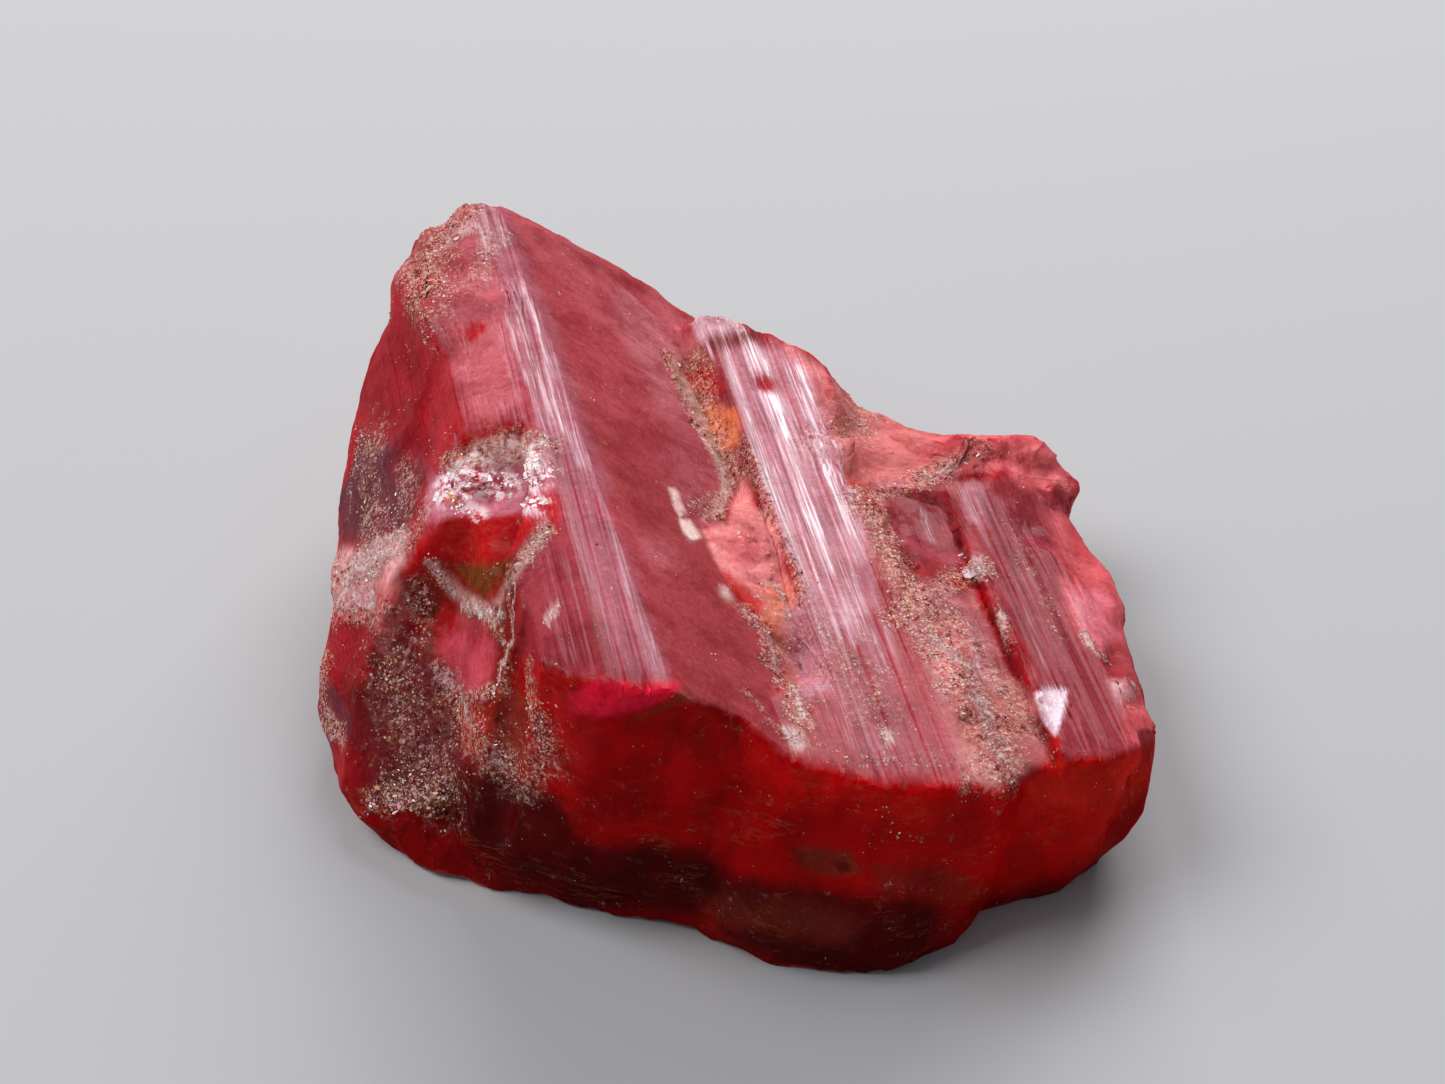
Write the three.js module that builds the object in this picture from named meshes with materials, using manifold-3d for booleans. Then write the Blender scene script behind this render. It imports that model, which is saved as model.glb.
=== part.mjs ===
// A rhodonite crystal: one broken, blocky piece of a single crystal, about 24 mm across, lying on a break.
// Millimetres, +Z up. +Y runs back along the crystal's zone axis, which its striated faces all follow.
import * as THREE from "three";
import { ConvexGeometry } from "three/addons/geometries/ConvexGeometry.js";
import { mergeVertices } from "three/addons/utils/BufferGeometryUtils.js";
import Module from "manifold-3d";

const wasm = await Module();
wasm.setup();

// ---------- Driving dimensions ----------
const beyond = 30; // outside every side of the crystal
const pitReach = 16; // just outside them
const tiny = 1e-5; // points nearer than this are one
const ridge = { left: -5.0, right: -3.45, height: 9.3, front: -10.0 }; // the narrow top strip
const blade = { left: 1.3, height: 6.62, step: 6.8, right: 9.1 }; // the broad lower striated face
const striatedLean = 12; // both lean this much to the right
const cleavageLean = 38; // the smooth slope between them
const coarseEdge = 1.4; // longest edge on the broken sides
const fineEdge = 0.85; // longest edge in the pits
const sideRoughness = 0.5;
const pitRoughness = 0.3;
const lumps = [
  { size: 4.4, share: 0.5 },
  { size: 1.9, share: 0.35 },
  { size: 0.9, share: 0.15 },
]; // how the roughness is made up

// Compass directions that a face can lean towards.
const right = 0;
const back = 90;
const left = 180;
const front = 270;
const upright = 90;
const under = 180;

// The widest outline of the broken sides, going round from the front-left corner. Each point has its place,
// its height, how far the side stands in at the foot, and how far at the level of the ridge.
const sides = [
  [-6.3, -8.9, 1.3, 1.4, 0.2],
  [-4.5, -9.8, 1.2, 1.2, -0.6],
  [-3.0, -10.5, 1.1, 1.0, 0.2],
  [-1.3, -11.9, 0.9, 0.6, 2.3],
  [0.6, -12.5, 0.7, 0.5, 1.7],
  [2.4, -12.4, 0.7, 0.6, 0.8],
  [4.0, -12.3, 0.8, 0.9, 0.8],
  [5.0, -11.4, 1.1, 0.9, -0.7],
  [7.4, -11.1, 1.3, 1.2, 0.9],
  [9.1, -10.3, 1.8, 1.5, 0.2],
  [9.9, -9.2, 3.2, 1.8, 1.0],
  [10.4, -6.4, 3.6, 1.8, 1.4],
  [11.0, -3.2, 3.8, 1.8, 1.4],
  [11.0, 0.4, 4.0, 1.8, 1.2],
  [11.5, 2.6, 4.2, 2.2, 1.0],
  [9.4, 3.9, 3.4, 2.0, 1.6],
  [7.2, 4.6, 3.2, 1.8, 2.6],
  [5.4, 7.0, 3.2, 1.6, 2.6],
  [3.6, 9.6, 3.2, 1.6, 2.6],
  [1.7, 11.6, 3.2, 1.5, 0.6],
  [-0.4, 12.2, 3.4, 1.5, 1.0],
  [-2.8, 12.7, 3.8, 1.6, 0.6],
  [-5.2, 12.8, 4.2, 1.6, 0.7],
  [-7.4, 12.1, 5.0, 1.6, 1.0],
  [-8.9, 10.0, 5.2, 1.6, 1.2],
  [-10.2, 6.9, 4.4, 1.5, 1.4],
  [-11.2, 3.4, 3.6, 1.3, 1.6],
  [-11.9, 0.0, 3.0, 1.2, 1.8],
  [-12.3, -3.0, 1.8, 1.1, 2.6],
  [-11.5, -5.2, 1.4, 1.1, 3.4],
  [-9.8, -7.1, 1.3, 1.2, 3.2],
  [-7.8, -7.9, 1.3, 1.3, 2.2],
];

// ---------- Noise ----------
const hashStep = [127.1, 311.7, 74.7, 53.3];
const hashScale = 43758.5453;

function hash(x, y, z, seed) {
  const value = Math.sin(x * hashStep[0] + y * hashStep[1] + z * hashStep[2] + seed * hashStep[3]) * hashScale;
  return 2 * (value - Math.floor(value)) - 1;
}

// Smooth noise from -1 to 1, the same on every run; size is the width of its lumps.
function noise(p, size, seed) {
  const scaled = [p.x / size, p.y / size, p.z / size];
  const cell = scaled.map(Math.floor);
  const ease = scaled.map((value, i) => THREE.MathUtils.smoothstep(value - cell[i], 0, 1));
  let sum = 0;
  for (let corner = 0; corner < 8; corner += 1) {
    const step = [corner & 1, (corner >> 1) & 1, corner >> 2];
    const weight = step.reduce((product, bit, i) => product * (bit ? ease[i] : 1 - ease[i]), 1);
    sum += weight * hash(cell[0] + step[0], cell[1] + step[1], cell[2] + step[2], seed);
  }
  return sum;
}

// ---------- Shapes ----------
// A face through a point. It leans from level by an angle (0 is a level top, 90 an upright wall, 180 an
// underside), towards a compass direction.
function face(point, lean, toward) {
  const tilt = THREE.MathUtils.degToRad(lean);
  const compass = THREE.MathUtils.degToRad(toward);
  const outward = new THREE.Vector3(
    Math.sin(tilt) * Math.cos(compass),
    Math.sin(tilt) * Math.sin(compass),
    Math.cos(tilt),
  );
  return new THREE.Plane().setFromNormalAndCoplanarPoint(outward, new THREE.Vector3(...point));
}

function meetingPoint(a, b, c) {
  const rows = new THREE.Matrix3().set(...a.normal.toArray(), ...b.normal.toArray(), ...c.normal.toArray());
  if (Math.abs(rows.determinant()) < tiny) return null; // nearly parallel
  return new THREE.Vector3(-a.constant, -b.constant, -c.constant).applyMatrix3(rows.invert());
}

// The convex block behind a list of faces, closed by a large box where they leave it open.
function block(faces, reach = beyond) {
  const box = [
    face([reach, 0, 0], upright, right),
    face([0, reach, 0], upright, back),
    face([-reach, 0, 0], upright, left),
    face([0, -reach, 0], upright, front),
    face([0, 0, reach], 0, right),
    face([0, 0, -reach], under, right),
  ];
  const planes = [...faces, ...box];
  const corners = [];
  for (let i = 0; i < planes.length; i += 1)
    for (let j = i + 1; j < planes.length; j += 1)
      for (let k = j + 1; k < planes.length; k += 1) {
        const corner = meetingPoint(planes[i], planes[j], planes[k]);
        if (corner && planes.every((plane) => plane.distanceToPoint(corner) < tiny)) corners.push(corner);
      }
  return new ConvexGeometry(corners);
}

// The broken blank: a skin through three rings, at the foot, at the widest outline and above the ridge.
function blank() {
  const footHeight = -1;
  const topHeight = 10.6;
  const rings = [
    sides.map(([x, y, , foot]) => stoodIn(x, y, footHeight, foot)),
    sides.map(([x, y, z]) => new THREE.Vector3(x, y, z)),
    sides.map(([x, y, , , top]) => stoodIn(x, y, topHeight, top)),
  ];
  const count = sides.length;
  const points = [...rings.flat(), new THREE.Vector3(0, 0, footHeight), new THREE.Vector3(0, 0, topHeight)];
  const triangles = [];
  for (let i = 0; i < count; i += 1) {
    const next = (i + 1) % count;
    for (const base of [0, count]) {
      triangles.push(base + i, base + next, base + count + next);
      triangles.push(base + i, base + count + next, base + count + i);
    }
    triangles.push(next, i, 3 * count);
    triangles.push(2 * count + i, 2 * count + next, 3 * count + 1);
  }
  const skin = new THREE.BufferGeometry().setFromPoints(points);
  return skin.setIndex(triangles);
}

function stoodIn(x, y, z, distance) {
  const reach = Math.hypot(x, y);
  const scale = (reach - distance) / reach;
  return new THREE.Vector3(x * scale, y * scale, z);
}

// ---------- Broken surfaces ----------
function bare(geometry) {
  const copy = geometry.clone();
  copy.deleteAttribute("normal");
  copy.deleteAttribute("uv");
  return mergeVertices(copy, 10 * tiny);
}

const edgeKey = (a, b) => Math.min(a, b) + "_" + Math.max(a, b);

// Splits every edge that is longer than a limit, and keeps the surface closed.
function refine(geometry, limit) {
  const start = bare(geometry);
  const points = [];
  for (let i = 0; i < start.attributes.position.count; i += 1)
    points.push(new THREE.Vector3().fromBufferAttribute(start.attributes.position, i));
  let triangles = [];
  for (let i = 0; i < start.index.count; i += 3)
    triangles.push([start.index.getX(i), start.index.getX(i + 1), start.index.getX(i + 2)]);
  for (;;) {
    const middles = new Map();
    for (const triangle of triangles)
      for (let k = 0; k < 3; k += 1) {
        const [a, b] = [triangle[k], triangle[(k + 1) % 3]];
        if (middles.has(edgeKey(a, b)) || points[a].distanceTo(points[b]) <= limit) continue;
        middles.set(edgeKey(a, b), points.push(points[a].clone().lerp(points[b], 0.5)) - 1);
      }
    if (middles.size === 0) break;
    triangles = triangles.flatMap((triangle) => split(triangle, middles));
  }
  return new THREE.BufferGeometry().setFromPoints(points).setIndex(triangles.flat());
}

// One triangle as one to four, by which of its edges have a middle point.
function split(triangle, middles) {
  const middle = [0, 1, 2].map((k) => middles.get(edgeKey(triangle[k], triangle[(k + 1) % 3])));
  const marked = [0, 1, 2].filter((k) => middle[k] !== undefined);
  if (marked.length === 0) return [triangle];
  const first = marked.length === 2 && marked[1] - marked[0] === 2 ? 2 : marked[0];
  const [a, b, c] = [0, 1, 2].map((k) => triangle[(first + k) % 3]);
  const [ab, bc, ca] = [0, 1, 2].map((k) => middle[(first + k) % 3]);
  if (marked.length === 1) return [[a, ab, c], [ab, b, c]];
  if (marked.length === 2) return [[a, ab, c], [ab, bc, c], [ab, b, bc]];
  return [[a, ab, ca], [ab, b, bc], [ca, bc, c], [ab, bc, ca]];
}

// Moves every point in or out by uneven lumps, as an uneven break has.
function roughened(geometry, limit, depth, seed) {
  const rough = refine(geometry, limit);
  rough.computeVertexNormals();
  const position = rough.attributes.position;
  const p = new THREE.Vector3();
  const out = new THREE.Vector3();
  for (let i = 0; i < position.count; i += 1) {
    p.fromBufferAttribute(position, i);
    out.fromBufferAttribute(rough.attributes.normal, i);
    const height = lumps.reduce((sum, { size, share }, k) => sum + share * noise(p, size, seed + k), 0);
    p.addScaledVector(out, depth * height);
    position.setXYZ(i, p.x, p.y, p.z);
  }
  return rough;
}

function solid(geometry) {
  const closed = bare(geometry);
  return new wasm.Manifold(
    new wasm.Mesh({
      numProp: 3,
      vertProperties: new Float32Array(closed.attributes.position.array),
      triVerts: new Uint32Array(closed.index.array),
    }),
  );
}

// The same solid with only its largest body kept.
function largest(body) {
  return body.decompose().reduce((best, other) => (other.volume() > best.volume() ? other : best));
}

// ---------- The crystal's own flat faces ----------
const bladeTop = face([blade.left, 0, blade.height], striatedLean, right);
const ridgeTop = face([ridge.right, ridge.front, ridge.height], striatedLean, right);
const leftTop = face([ridge.left, 0, 9.62], 13, left);

const ridgeBlock = block([
  ridgeTop,
  face([ridge.right, ridge.front, ridge.height], cleavageLean, right + 2),
  leftTop,
  face([-7.0, 0, 9.15], 51, left),
  face([-9.8, 0, 5.6], 66, left),
]);

// The blade has a rough wall along its left side, which dies out into the cleavage near the front.
const bladeBlock = block([
  bladeTop,
  face([blade.left, 0, blade.height], 50, left),
  face([blade.right, 0, 4.96], cleavageLean, right),
  face([1.3, 9.1, 6.6], 58, back - 12),
  face([4.3, 7.0, 6.0], 62, back - 48),
]);
const bladeFront = block([
  bladeTop,
  face([0, -8.3, 6.9], 35, back),
  face([blade.right, 0, 4.96], cleavageLean, right),
  face([-2.5, 0, 0], upright, left), // inside the ridge
]);

// A rough lump that fills the foot of the wall, half way along.
const wallLump = block([
  face([-0.9, -2.4, 7.04], 24, right - 6),
  face([0.4, -0.2, 6.4], 46, back + 24),
  face([0.2, -5.6, 6.5], 34, front + 12),
  face([-2.0, 0, 6.0], upright, left), // inside the ridge
]);

// A thin flap that stands up over the blade's back right corner.
const flap = block([
  face([8.1, 1.1, 5.2], 46, front + 19),
  face([8.1, 2.1, 6.05], 42, back - 12),
  face([7.6, 2.0, 6.0], 36, left + 6),
  face([9.4, 1.9, 6.05], 26, right + 10),
  face([10.4, 1.4, 5.5], 60, right + 22),
]);

// ---------- What has broken away ----------
// Each pit is given by the faces that it leaves on the crystal.
function pit(faces, seed) {
  return solid(roughened(block(faces.map((kept) => kept.negate()), pitReach), fineEdge, pitRoughness, seed));
}

const ledge = pit(
  [
    face([-7.0, 0, 8.05], 8, left + 60),
    face([-7.0, 1.3, 9.1], 62, left + 72),
    face([-5.2, 0, 9.55], 80, left),
    face([-5.5, -2.2, 9.5], 78, left - 23),
  ],
  11,
);

const lowerLeft = pit(
  [
    face([-7.2, -2.1, 6.2], 48, left + 46),
    face([-7.2, -1.2, 8.0], 70, front - 14),
    face([-6.65, -5.0, 9.2], 74, left + 4),
  ],
  12,
);

const lip = pit([face([-4.9, -9.95, 9.6], 60, front - 12), face([-2.9, -9.8, 9.0], 70, left + 20)], 13);

// Broad scars of the front break: one overhangs on the left, one leans back at the right end.
const frontScars = [
  pit([face([-3.6, -10.5, 5.0], 97, front - 10), face([-1.8, -11.0, 3.0], 80, left + 30)], 17),
  pit([face([9.0, -10.8, 4.4], 82, front + 38)], 19),
];

const backHollow = pit(
  [
    face([3.95, 3.0, 6.05], 46, right - 8),
    face([5.2, 3.0, 5.3], 15, right + 30),
    face([5.4, 0.3, 5.75], 42, back + 10),
  ],
  15,
);

const crustTrough = pit(
  [
    face([blade.step, 0, 5.45], 68, left),
    face([5.9, 0, 5.25], 14, right),
    face([4.5, 0, 5.94], 24, right),
    face([5.5, 0.3, 5.6], 46, front + 10),
  ],
  16,
);

// ---------- Striae ----------
// Long steps along the zone axis. Each falls away gently to a low wall that faces left.
function striae(top, places, lean) {
  return places.map(([x, width, drop]) => {
    const wallFoot = new THREE.Vector3(x, 0, 0);
    const start = new THREE.Vector3(x - width, 0, 0);
    for (const p of [wallFoot, start]) p.z = -(top.constant + top.normal.x * p.x) / top.normal.z;
    const slope = lean + THREE.MathUtils.radToDeg(Math.atan2(drop, width));
    return solid(
      block([face(wallFoot.toArray(), 60, left).negate(), face(start.toArray(), slope, right).negate()], pitReach),
    );
  });
}

const bladeStriae = striae(
  bladeTop,
  [
    [1.8, 0.45, 0.07],
    [2.3, 0.5, 0.1],
    [3.1, 0.6, 0.08],
    [3.6, 0.4, 0.06],
    [7.5, 0.6, 0.08],
    [8.0, 0.4, 0.06],
    [8.7, 0.5, 0.08],
  ],
  striatedLean,
);
const ridgeStriae = striae(
  ridgeTop,
  [
    [-4.5, 0.35, 0.08],
    [-4.0, 0.3, 0.08],
  ],
  striatedLean,
);

const without = (body, pieces) => pieces.reduce((rest, piece) => rest.subtract(piece), body);

const ridgePart = without(solid(ridgeBlock), [...ridgeStriae, ledge, lowerLeft, lip]);
const bladePart = without(solid(bladeBlock).add(solid(bladeFront)), [...bladeStriae, backHollow, crustTrough]);
const blankPart = without(solid(roughened(blank(), coarseEdge, sideRoughness, 3)), frontScars);
const crystal = largest(
  ridgePart
    .add(bladePart)
    .add(solid(roughened(wallLump, fineEdge, pitRoughness, 14)))
    .add(solid(flap))
    .intersect(blankPart)
    .intersect(solid(block([face([0, 0, 0], under, right)]))),
);

// Over the middle of its outline.
function centred(body) {
  const { min, max } = body.boundingBox();
  return body.translate([-(min[0] + max[0]) / 2, -(min[1] + max[1]) / 2, 0]);
}

function asMesh(body) {
  const { vertProperties, triVerts } = body.getMesh();
  const geometry = new THREE.BufferGeometry();
  geometry.setAttribute("position", new THREE.BufferAttribute(vertProperties, 3));
  geometry.setIndex(new THREE.BufferAttribute(triVerts, 1));
  return new THREE.Mesh(
    geometry,
    new THREE.MeshStandardMaterial({ color: 0x9c1f33, roughness: 0.3, metalness: 0 }),
  );
}

const part = new THREE.Group();
const mesh = asMesh(centred(crystal));
mesh.name = "rhodonite_crystal";
part.add(mesh);

export default part;
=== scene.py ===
import math

import bpy
import numpy as np
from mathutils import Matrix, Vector
from mathutils.bvhtree import BVHTree
from mathutils.geometry import delaunay_2d_cdt


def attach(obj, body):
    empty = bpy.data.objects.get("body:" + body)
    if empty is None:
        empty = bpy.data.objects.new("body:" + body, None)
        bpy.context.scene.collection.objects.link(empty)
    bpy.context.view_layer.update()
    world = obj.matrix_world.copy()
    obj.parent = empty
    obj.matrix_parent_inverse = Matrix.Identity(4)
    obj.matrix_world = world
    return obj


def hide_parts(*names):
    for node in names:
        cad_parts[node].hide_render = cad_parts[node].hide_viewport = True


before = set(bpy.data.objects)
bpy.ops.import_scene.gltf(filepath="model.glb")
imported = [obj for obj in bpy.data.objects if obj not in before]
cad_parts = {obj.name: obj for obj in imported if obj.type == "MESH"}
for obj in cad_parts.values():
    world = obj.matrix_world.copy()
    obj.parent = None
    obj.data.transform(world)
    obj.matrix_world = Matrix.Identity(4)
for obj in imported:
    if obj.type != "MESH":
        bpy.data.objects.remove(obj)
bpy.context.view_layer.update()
mm = 0.001  # the crystal is shaped in millimetres and scaled down to metres at the end

# The camera looks down on the crystal from just left of its front.
view = {
    "target": (0.3, -0.05, 5.0),
    "azimuth": -12,
    "elevation": 40,
    "distance": 75,
    "lens": 65,
    "sensor": 36,
    "clip": (0.001, 20),
    "pixelsWide": 1445,  # all the pixel places below are in this frame
    "pixelsHigh": 1084,
}


def lookDirection():
    a, e = math.radians(view["azimuth"]), math.radians(view["elevation"])
    return Vector((-math.sin(a) * math.cos(e), math.cos(a) * math.cos(e), -math.sin(e)))


def viewAxes():
    toward = lookDirection()
    right = toward.cross(Vector((0, 0, 1))).normalized()
    focal = view["lens"] / view["sensor"] * view["pixelsWide"]
    return toward, right, right.cross(toward), Vector(view["target"]) - toward * view["distance"], focal


def makeCamera():
    toward = lookDirection()
    lens = bpy.data.cameras.new("camera")
    lens.lens = view["lens"]
    lens.sensor_width = view["sensor"]
    lens.clip_start, lens.clip_end = view["clip"]
    camera = bpy.data.objects.new("camera", lens)
    camera.location = (Vector(view["target"]) - toward * view["distance"]) * mm
    camera.rotation_mode = "QUATERNION"
    camera.rotation_quaternion = toward.to_track_quat("-Z", "Y")
    bpy.context.scene.collection.objects.link(camera)
    bpy.context.scene.camera = camera


makeCamera()
print("camera set")

stage = {
    "floor": (0.5, 0.5, 0.51),
    "floorRoughness": 0.8,
    "floorReach": 3,
    "sky": (0.9, 0.93, 1.0),
    "skyStrength": 0.22,
    "window": {"azimuth": 26, "elevation": 38, "distance": 0.3, "size": 0.2, "power": 0.75},
    "fill": {"azimuth": -78, "elevation": 52, "distance": 0.35, "size": 0.22, "power": 0.8},
}


def lampDirection(lamp):
    a, e = math.radians(lamp["azimuth"]), math.radians(lamp["elevation"])
    return np.array([math.sin(a) * math.cos(e), math.cos(a) * math.cos(e), math.sin(e)])


# Sums that the shaping is made of. Each works on whole arrays of points.
def smooth(low, high, value):
    t = np.clip((value - low) / (high - low), 0, 1)
    return t * t * (3 - 2 * t)


def unit(v):
    return v / np.maximum(np.linalg.norm(v, axis=-1, keepdims=True), 1e-12)


hashing = {
    "axes": (0x9E3779B1, 0x85EBCA77, 0xC2B2AE3D),
    "seedStep": 7919,
    "seedStart": 17,
    "shifts": (16, 13, 16),
    "stir": 0x45D9F3B,
    "word": 0xFFFFFFFF,
}


def hashed(cell, seed):
    # one even random number from 0 to 1 for each whole-numbered cell
    c = cell.astype(np.int64).astype(np.uint64)
    x, y, z = [c[..., k] * np.uint64(hashing["axes"][k]) for k in range(3)]
    word = np.uint64(hashing["word"])
    h = ((x ^ y ^ z) + np.uint64(seed * hashing["seedStep"] + hashing["seedStart"])) & word
    for shift in hashing["shifts"]:
        h = ((h ^ (h >> np.uint64(shift))) * np.uint64(hashing["stir"])) & word
    return h.astype(float) / hashing["word"]


def lumps(p, size, seed):
    # smooth noise from -1 to 1; size is a number or one for each axis
    scaled = p / size
    cell = np.floor(scaled)
    t = scaled - cell
    t = t * t * (3 - 2 * t)
    total = np.zeros(len(p))
    for corner in np.ndindex(2, 2, 2):
        weight = np.prod(np.where(corner, t, 1 - t), axis=1)
        total += weight * hashed(cell + corner, seed)
    return 2 * total - 1


def fractal(p, size, seed, octaves=3):
    size = np.asarray(size, float)
    layers = sum(lumps(p, size / 2**k, seed + k) / 2**k for k in range(octaves))
    return layers / (2 - 0.5 ** (octaves - 1))


def cellsAround(p, size, seed):
    # for each of the 27 cells round a point: how far off its middle is, squared, the height of its
    # tilted face there, and the cell's own number
    scaled = p / size
    cell = np.floor(scaled)
    for step in np.ndindex(3, 3, 3):
        there = cell + np.array(step) - 1
        away = scaled - there - np.stack([hashed(there, seed + k) for k in range(3)], axis=1)
        lean = np.stack([hashed(there, seed + 3 + k) - 0.5 for k in range(3)], axis=1)
        yield (away**2).sum(axis=1), (away * lean).sum(axis=1), hashed(there, seed + 6)


def scallops(p, size, seed, tilt=0.6, uneven=0.35):
    # shallow bowls with sharp rims between them, each tilted its own way: 0 deep down, about 1 at the rims
    best = np.full(len(p), np.inf)
    for off, height, number in cellsAround(p, size, seed):
        best = np.minimum(best, off + tilt * height + uneven * number)
    return best


def splinters(p, size, seed):
    # flat little chips, each leaning its own way: their height and a tone from 0 to 1 of each
    nearest, height, tone = np.full(len(p), np.inf), np.zeros(len(p)), np.zeros(len(p))
    for off, tilted, number in cellsAround(p, size, seed):
        closer = off < nearest
        nearest[closer], height[closer], tone[closer] = off[closer], tilted[closer], number[closer]
    return height, tone


def facing(lean, toward):
    tilt, compass = math.radians(lean), math.radians(toward)
    return np.array([math.sin(tilt) * math.cos(compass), math.sin(tilt) * math.sin(compass), math.cos(tilt)])


def weldedMesh(obj):
    mesh = obj.data
    mesh.calc_loop_triangles()
    co = np.empty(len(mesh.vertices) * 3)
    mesh.vertices.foreach_get("co", co)
    corner = np.empty(len(mesh.loop_triangles) * 3, np.int64)
    mesh.loop_triangles.foreach_get("vertices", corner)
    points, same = np.unique(np.round(co.reshape(-1, 3) / mm, 4), axis=0, return_inverse=True)
    tris = same.reshape(-1)[corner].reshape(-1, 3)
    whole = (tris[:, 0] != tris[:, 1]) & (tris[:, 1] != tris[:, 2]) & (tris[:, 2] != tris[:, 0])
    return points, tris[whole]


def crossOf(points, tris):
    a, b, c = points[tris[:, 0]], points[tris[:, 1]], points[tris[:, 2]]
    return np.cross(b - a, c - a)


def areasOf(points, tris):
    return np.linalg.norm(crossOf(points, tris), axis=1)


def gathered(count, tris, values):
    # adds each triangle's value to its three corners
    out = np.zeros((count, values.shape[1]))
    for k in range(3):
        for axis in range(values.shape[1]):
            out[:, axis] += np.bincount(tris[:, k], weights=values[:, axis], minlength=count)
    return out


def vertexNormals(points, tris):
    return unit(gathered(len(points), tris, crossOf(points, tris)))


def directedEdges(tris):
    return tris[:, [[0, 1], [1, 2], [2, 0]]].reshape(-1, 2)


def edgesOf(tris):
    ends = np.sort(directedEdges(tris), axis=1)
    size = int(tris.max()) + 1
    keys, which = np.unique(ends[:, 0] * size + ends[:, 1], return_inverse=True)
    return np.stack([keys // size, keys % size], axis=1), which.reshape(-1, 3)


def relaxed(points, edges, weight, steps):
    # pulls each point towards the middle of its neighbours
    count = np.bincount(edges.ravel(), minlength=len(points))[:, None]
    for _ in range(steps):
        total = np.zeros_like(points)
        for axis in range(3):
            for here, there in ((0, 1), (1, 0)):
                weights = points[edges[:, there], axis]
                total[:, axis] += np.bincount(edges[:, here], weights=weights, minlength=len(points))
        points = points + (total / count - points) * weight[:, None]
    return points


def splitLong(points, tris, marks, tooLong):
    # cuts every edge that is too long, again and again, and keeps the surface closed
    while True:
        edges, which = edgesOf(tris)
        long = tooLong(points, edges, which, marks)
        if not long.any():
            return points, tris, marks
        middle = np.full(len(edges), -1)
        middle[long] = len(points) + np.arange(long.sum())
        points = np.vstack([points, points[edges[long]].mean(axis=1)])
        mids = middle[which]
        cuts = (mids >= 0).sum(axis=1)
        newTris, newMarks = [tris[cuts == 0]], [marks[cuts == 0]]
        for count in (1, 2, 3):
            chosen = cuts == count
            t, m, k = tris[chosen], mids[chosen], marks[chosen]
            if count == 1:
                turn = np.argmax(m >= 0, axis=1)
            elif count == 2:
                turn = (np.argmax(m < 0, axis=1) + 1) % 3
            else:
                turn = np.zeros(len(t), int)
            order = (np.arange(3)[None, :] + turn[:, None]) % 3
            t, m = np.take_along_axis(t, order, 1), np.take_along_axis(m, order, 1)
            a, b, c, ab, bc, ca = *t.T, *m.T
            if count == 1:
                parts = [(a, ab, c), (ab, b, c)]
            elif count == 2:  # the four-sided rest is cut along its shorter diagonal
                first, second = points[a] - points[bc], points[ab] - points[c]
                short = np.linalg.norm(first, axis=1) < np.linalg.norm(second, axis=1)
                parts = [(ab, b, bc), (a, ab, np.where(short, bc, c)), (np.where(short, a, ab), bc, c)]
            else:
                parts = [(a, ab, ca), (ab, b, bc), (ca, bc, c), (ab, bc, ca)]
            for part in parts:
                newTris.append(np.stack(part, axis=1))
                newMarks.append(k)
        tris, marks = np.vstack(newTris), np.concatenate(newMarks)


points, tris = weldedMesh(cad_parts["rhodonite_crystal"])
cadTree = BVHTree.FromPolygons(points.tolist(), tris.tolist())


# Places on the crystal are named by the pixel that shows them.
def onCrystal(px, py):
    toward, right, up, eye, focal = viewAxes()
    ray = toward * focal + right * (px - view["pixelsWide"] / 2) - up * (py - view["pixelsHigh"] / 2)
    ray.normalize()
    hit = cadTree.ray_cast(eye, ray)[0]
    if hit is None:  # just past the outline
        hit = cadTree.find_nearest(eye + ray * view["distance"])[0]
    return np.array(hit)


def seenAt(p):
    # the pixel that shows each point, and how far off the point is
    toward, right, up, eye, focal = [np.array(part) for part in viewAxes()]
    depth = (p - eye) @ toward
    across, down = focal * ((p - eye) @ right) / depth, -focal * ((p - eye) @ up) / depth
    return np.stack([view["pixelsWide"] / 2 + across, view["pixelsHigh"] / 2 + down], axis=1), depth


def offSegment(p, a, b):
    along = b - a
    t = np.clip((p - a) @ along / max(along @ along, 1e-9), 0, 1)
    return np.linalg.norm(p - a - t[:, None] * along, axis=1)


def offLine(p, places):
    # distance to a line through places on the crystal, or to one place
    stops = [onCrystal(*place) for place in places]
    if len(stops) == 1:
        return np.linalg.norm(p - stops[0], axis=1)
    return np.min([offSegment(p, a, b) for a, b in zip(stops, stops[1:])], axis=0)


def insideOutline(p, start, end):
    # even and odd crossings of a line to the right
    inside = np.zeros(len(p), bool)
    for a, b in zip(start, end):
        crosses = (a[1] > p[:, 1]) != (b[1] > p[:, 1])
        if crosses.any():
            inside ^= crosses & (p[:, 0] < a[0] + (p[:, 1] - a[1]) * (b[0] - a[0]) / (b[1] - a[1] + 1e-30))
    return inside


def within(p, outline, soft, ragged, seed, wander=0.5, thick=1):
    # 1 inside an outline of pixel places, on the side of the crystal that shows there
    shown, depth = seenAt(p)
    corners = np.array(outline, float)
    ahead = np.roll(corners, -1, axis=0)
    depths = seenAt(np.array([onCrystal(*corner) for corner in corners]))[1]
    margin = soft + ragged
    low, high = corners.min(axis=0) - margin, corners.max(axis=0) + margin
    near = np.all((shown > low) & (shown < high), axis=1)
    near &= (depth > depths.min() - thick) & (depth < depths.max() + thick)
    shown = shown[near]
    off = np.min([offSegment(shown, a, b) for a, b in zip(corners, ahead)], axis=0)
    off = np.where(insideOutline(shown, corners, ahead), off, -off)
    amount = np.zeros(len(p))
    amount[near] = smooth(-soft, soft, off + ragged * fractal(p[near], wander, seed))
    return amount


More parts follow.
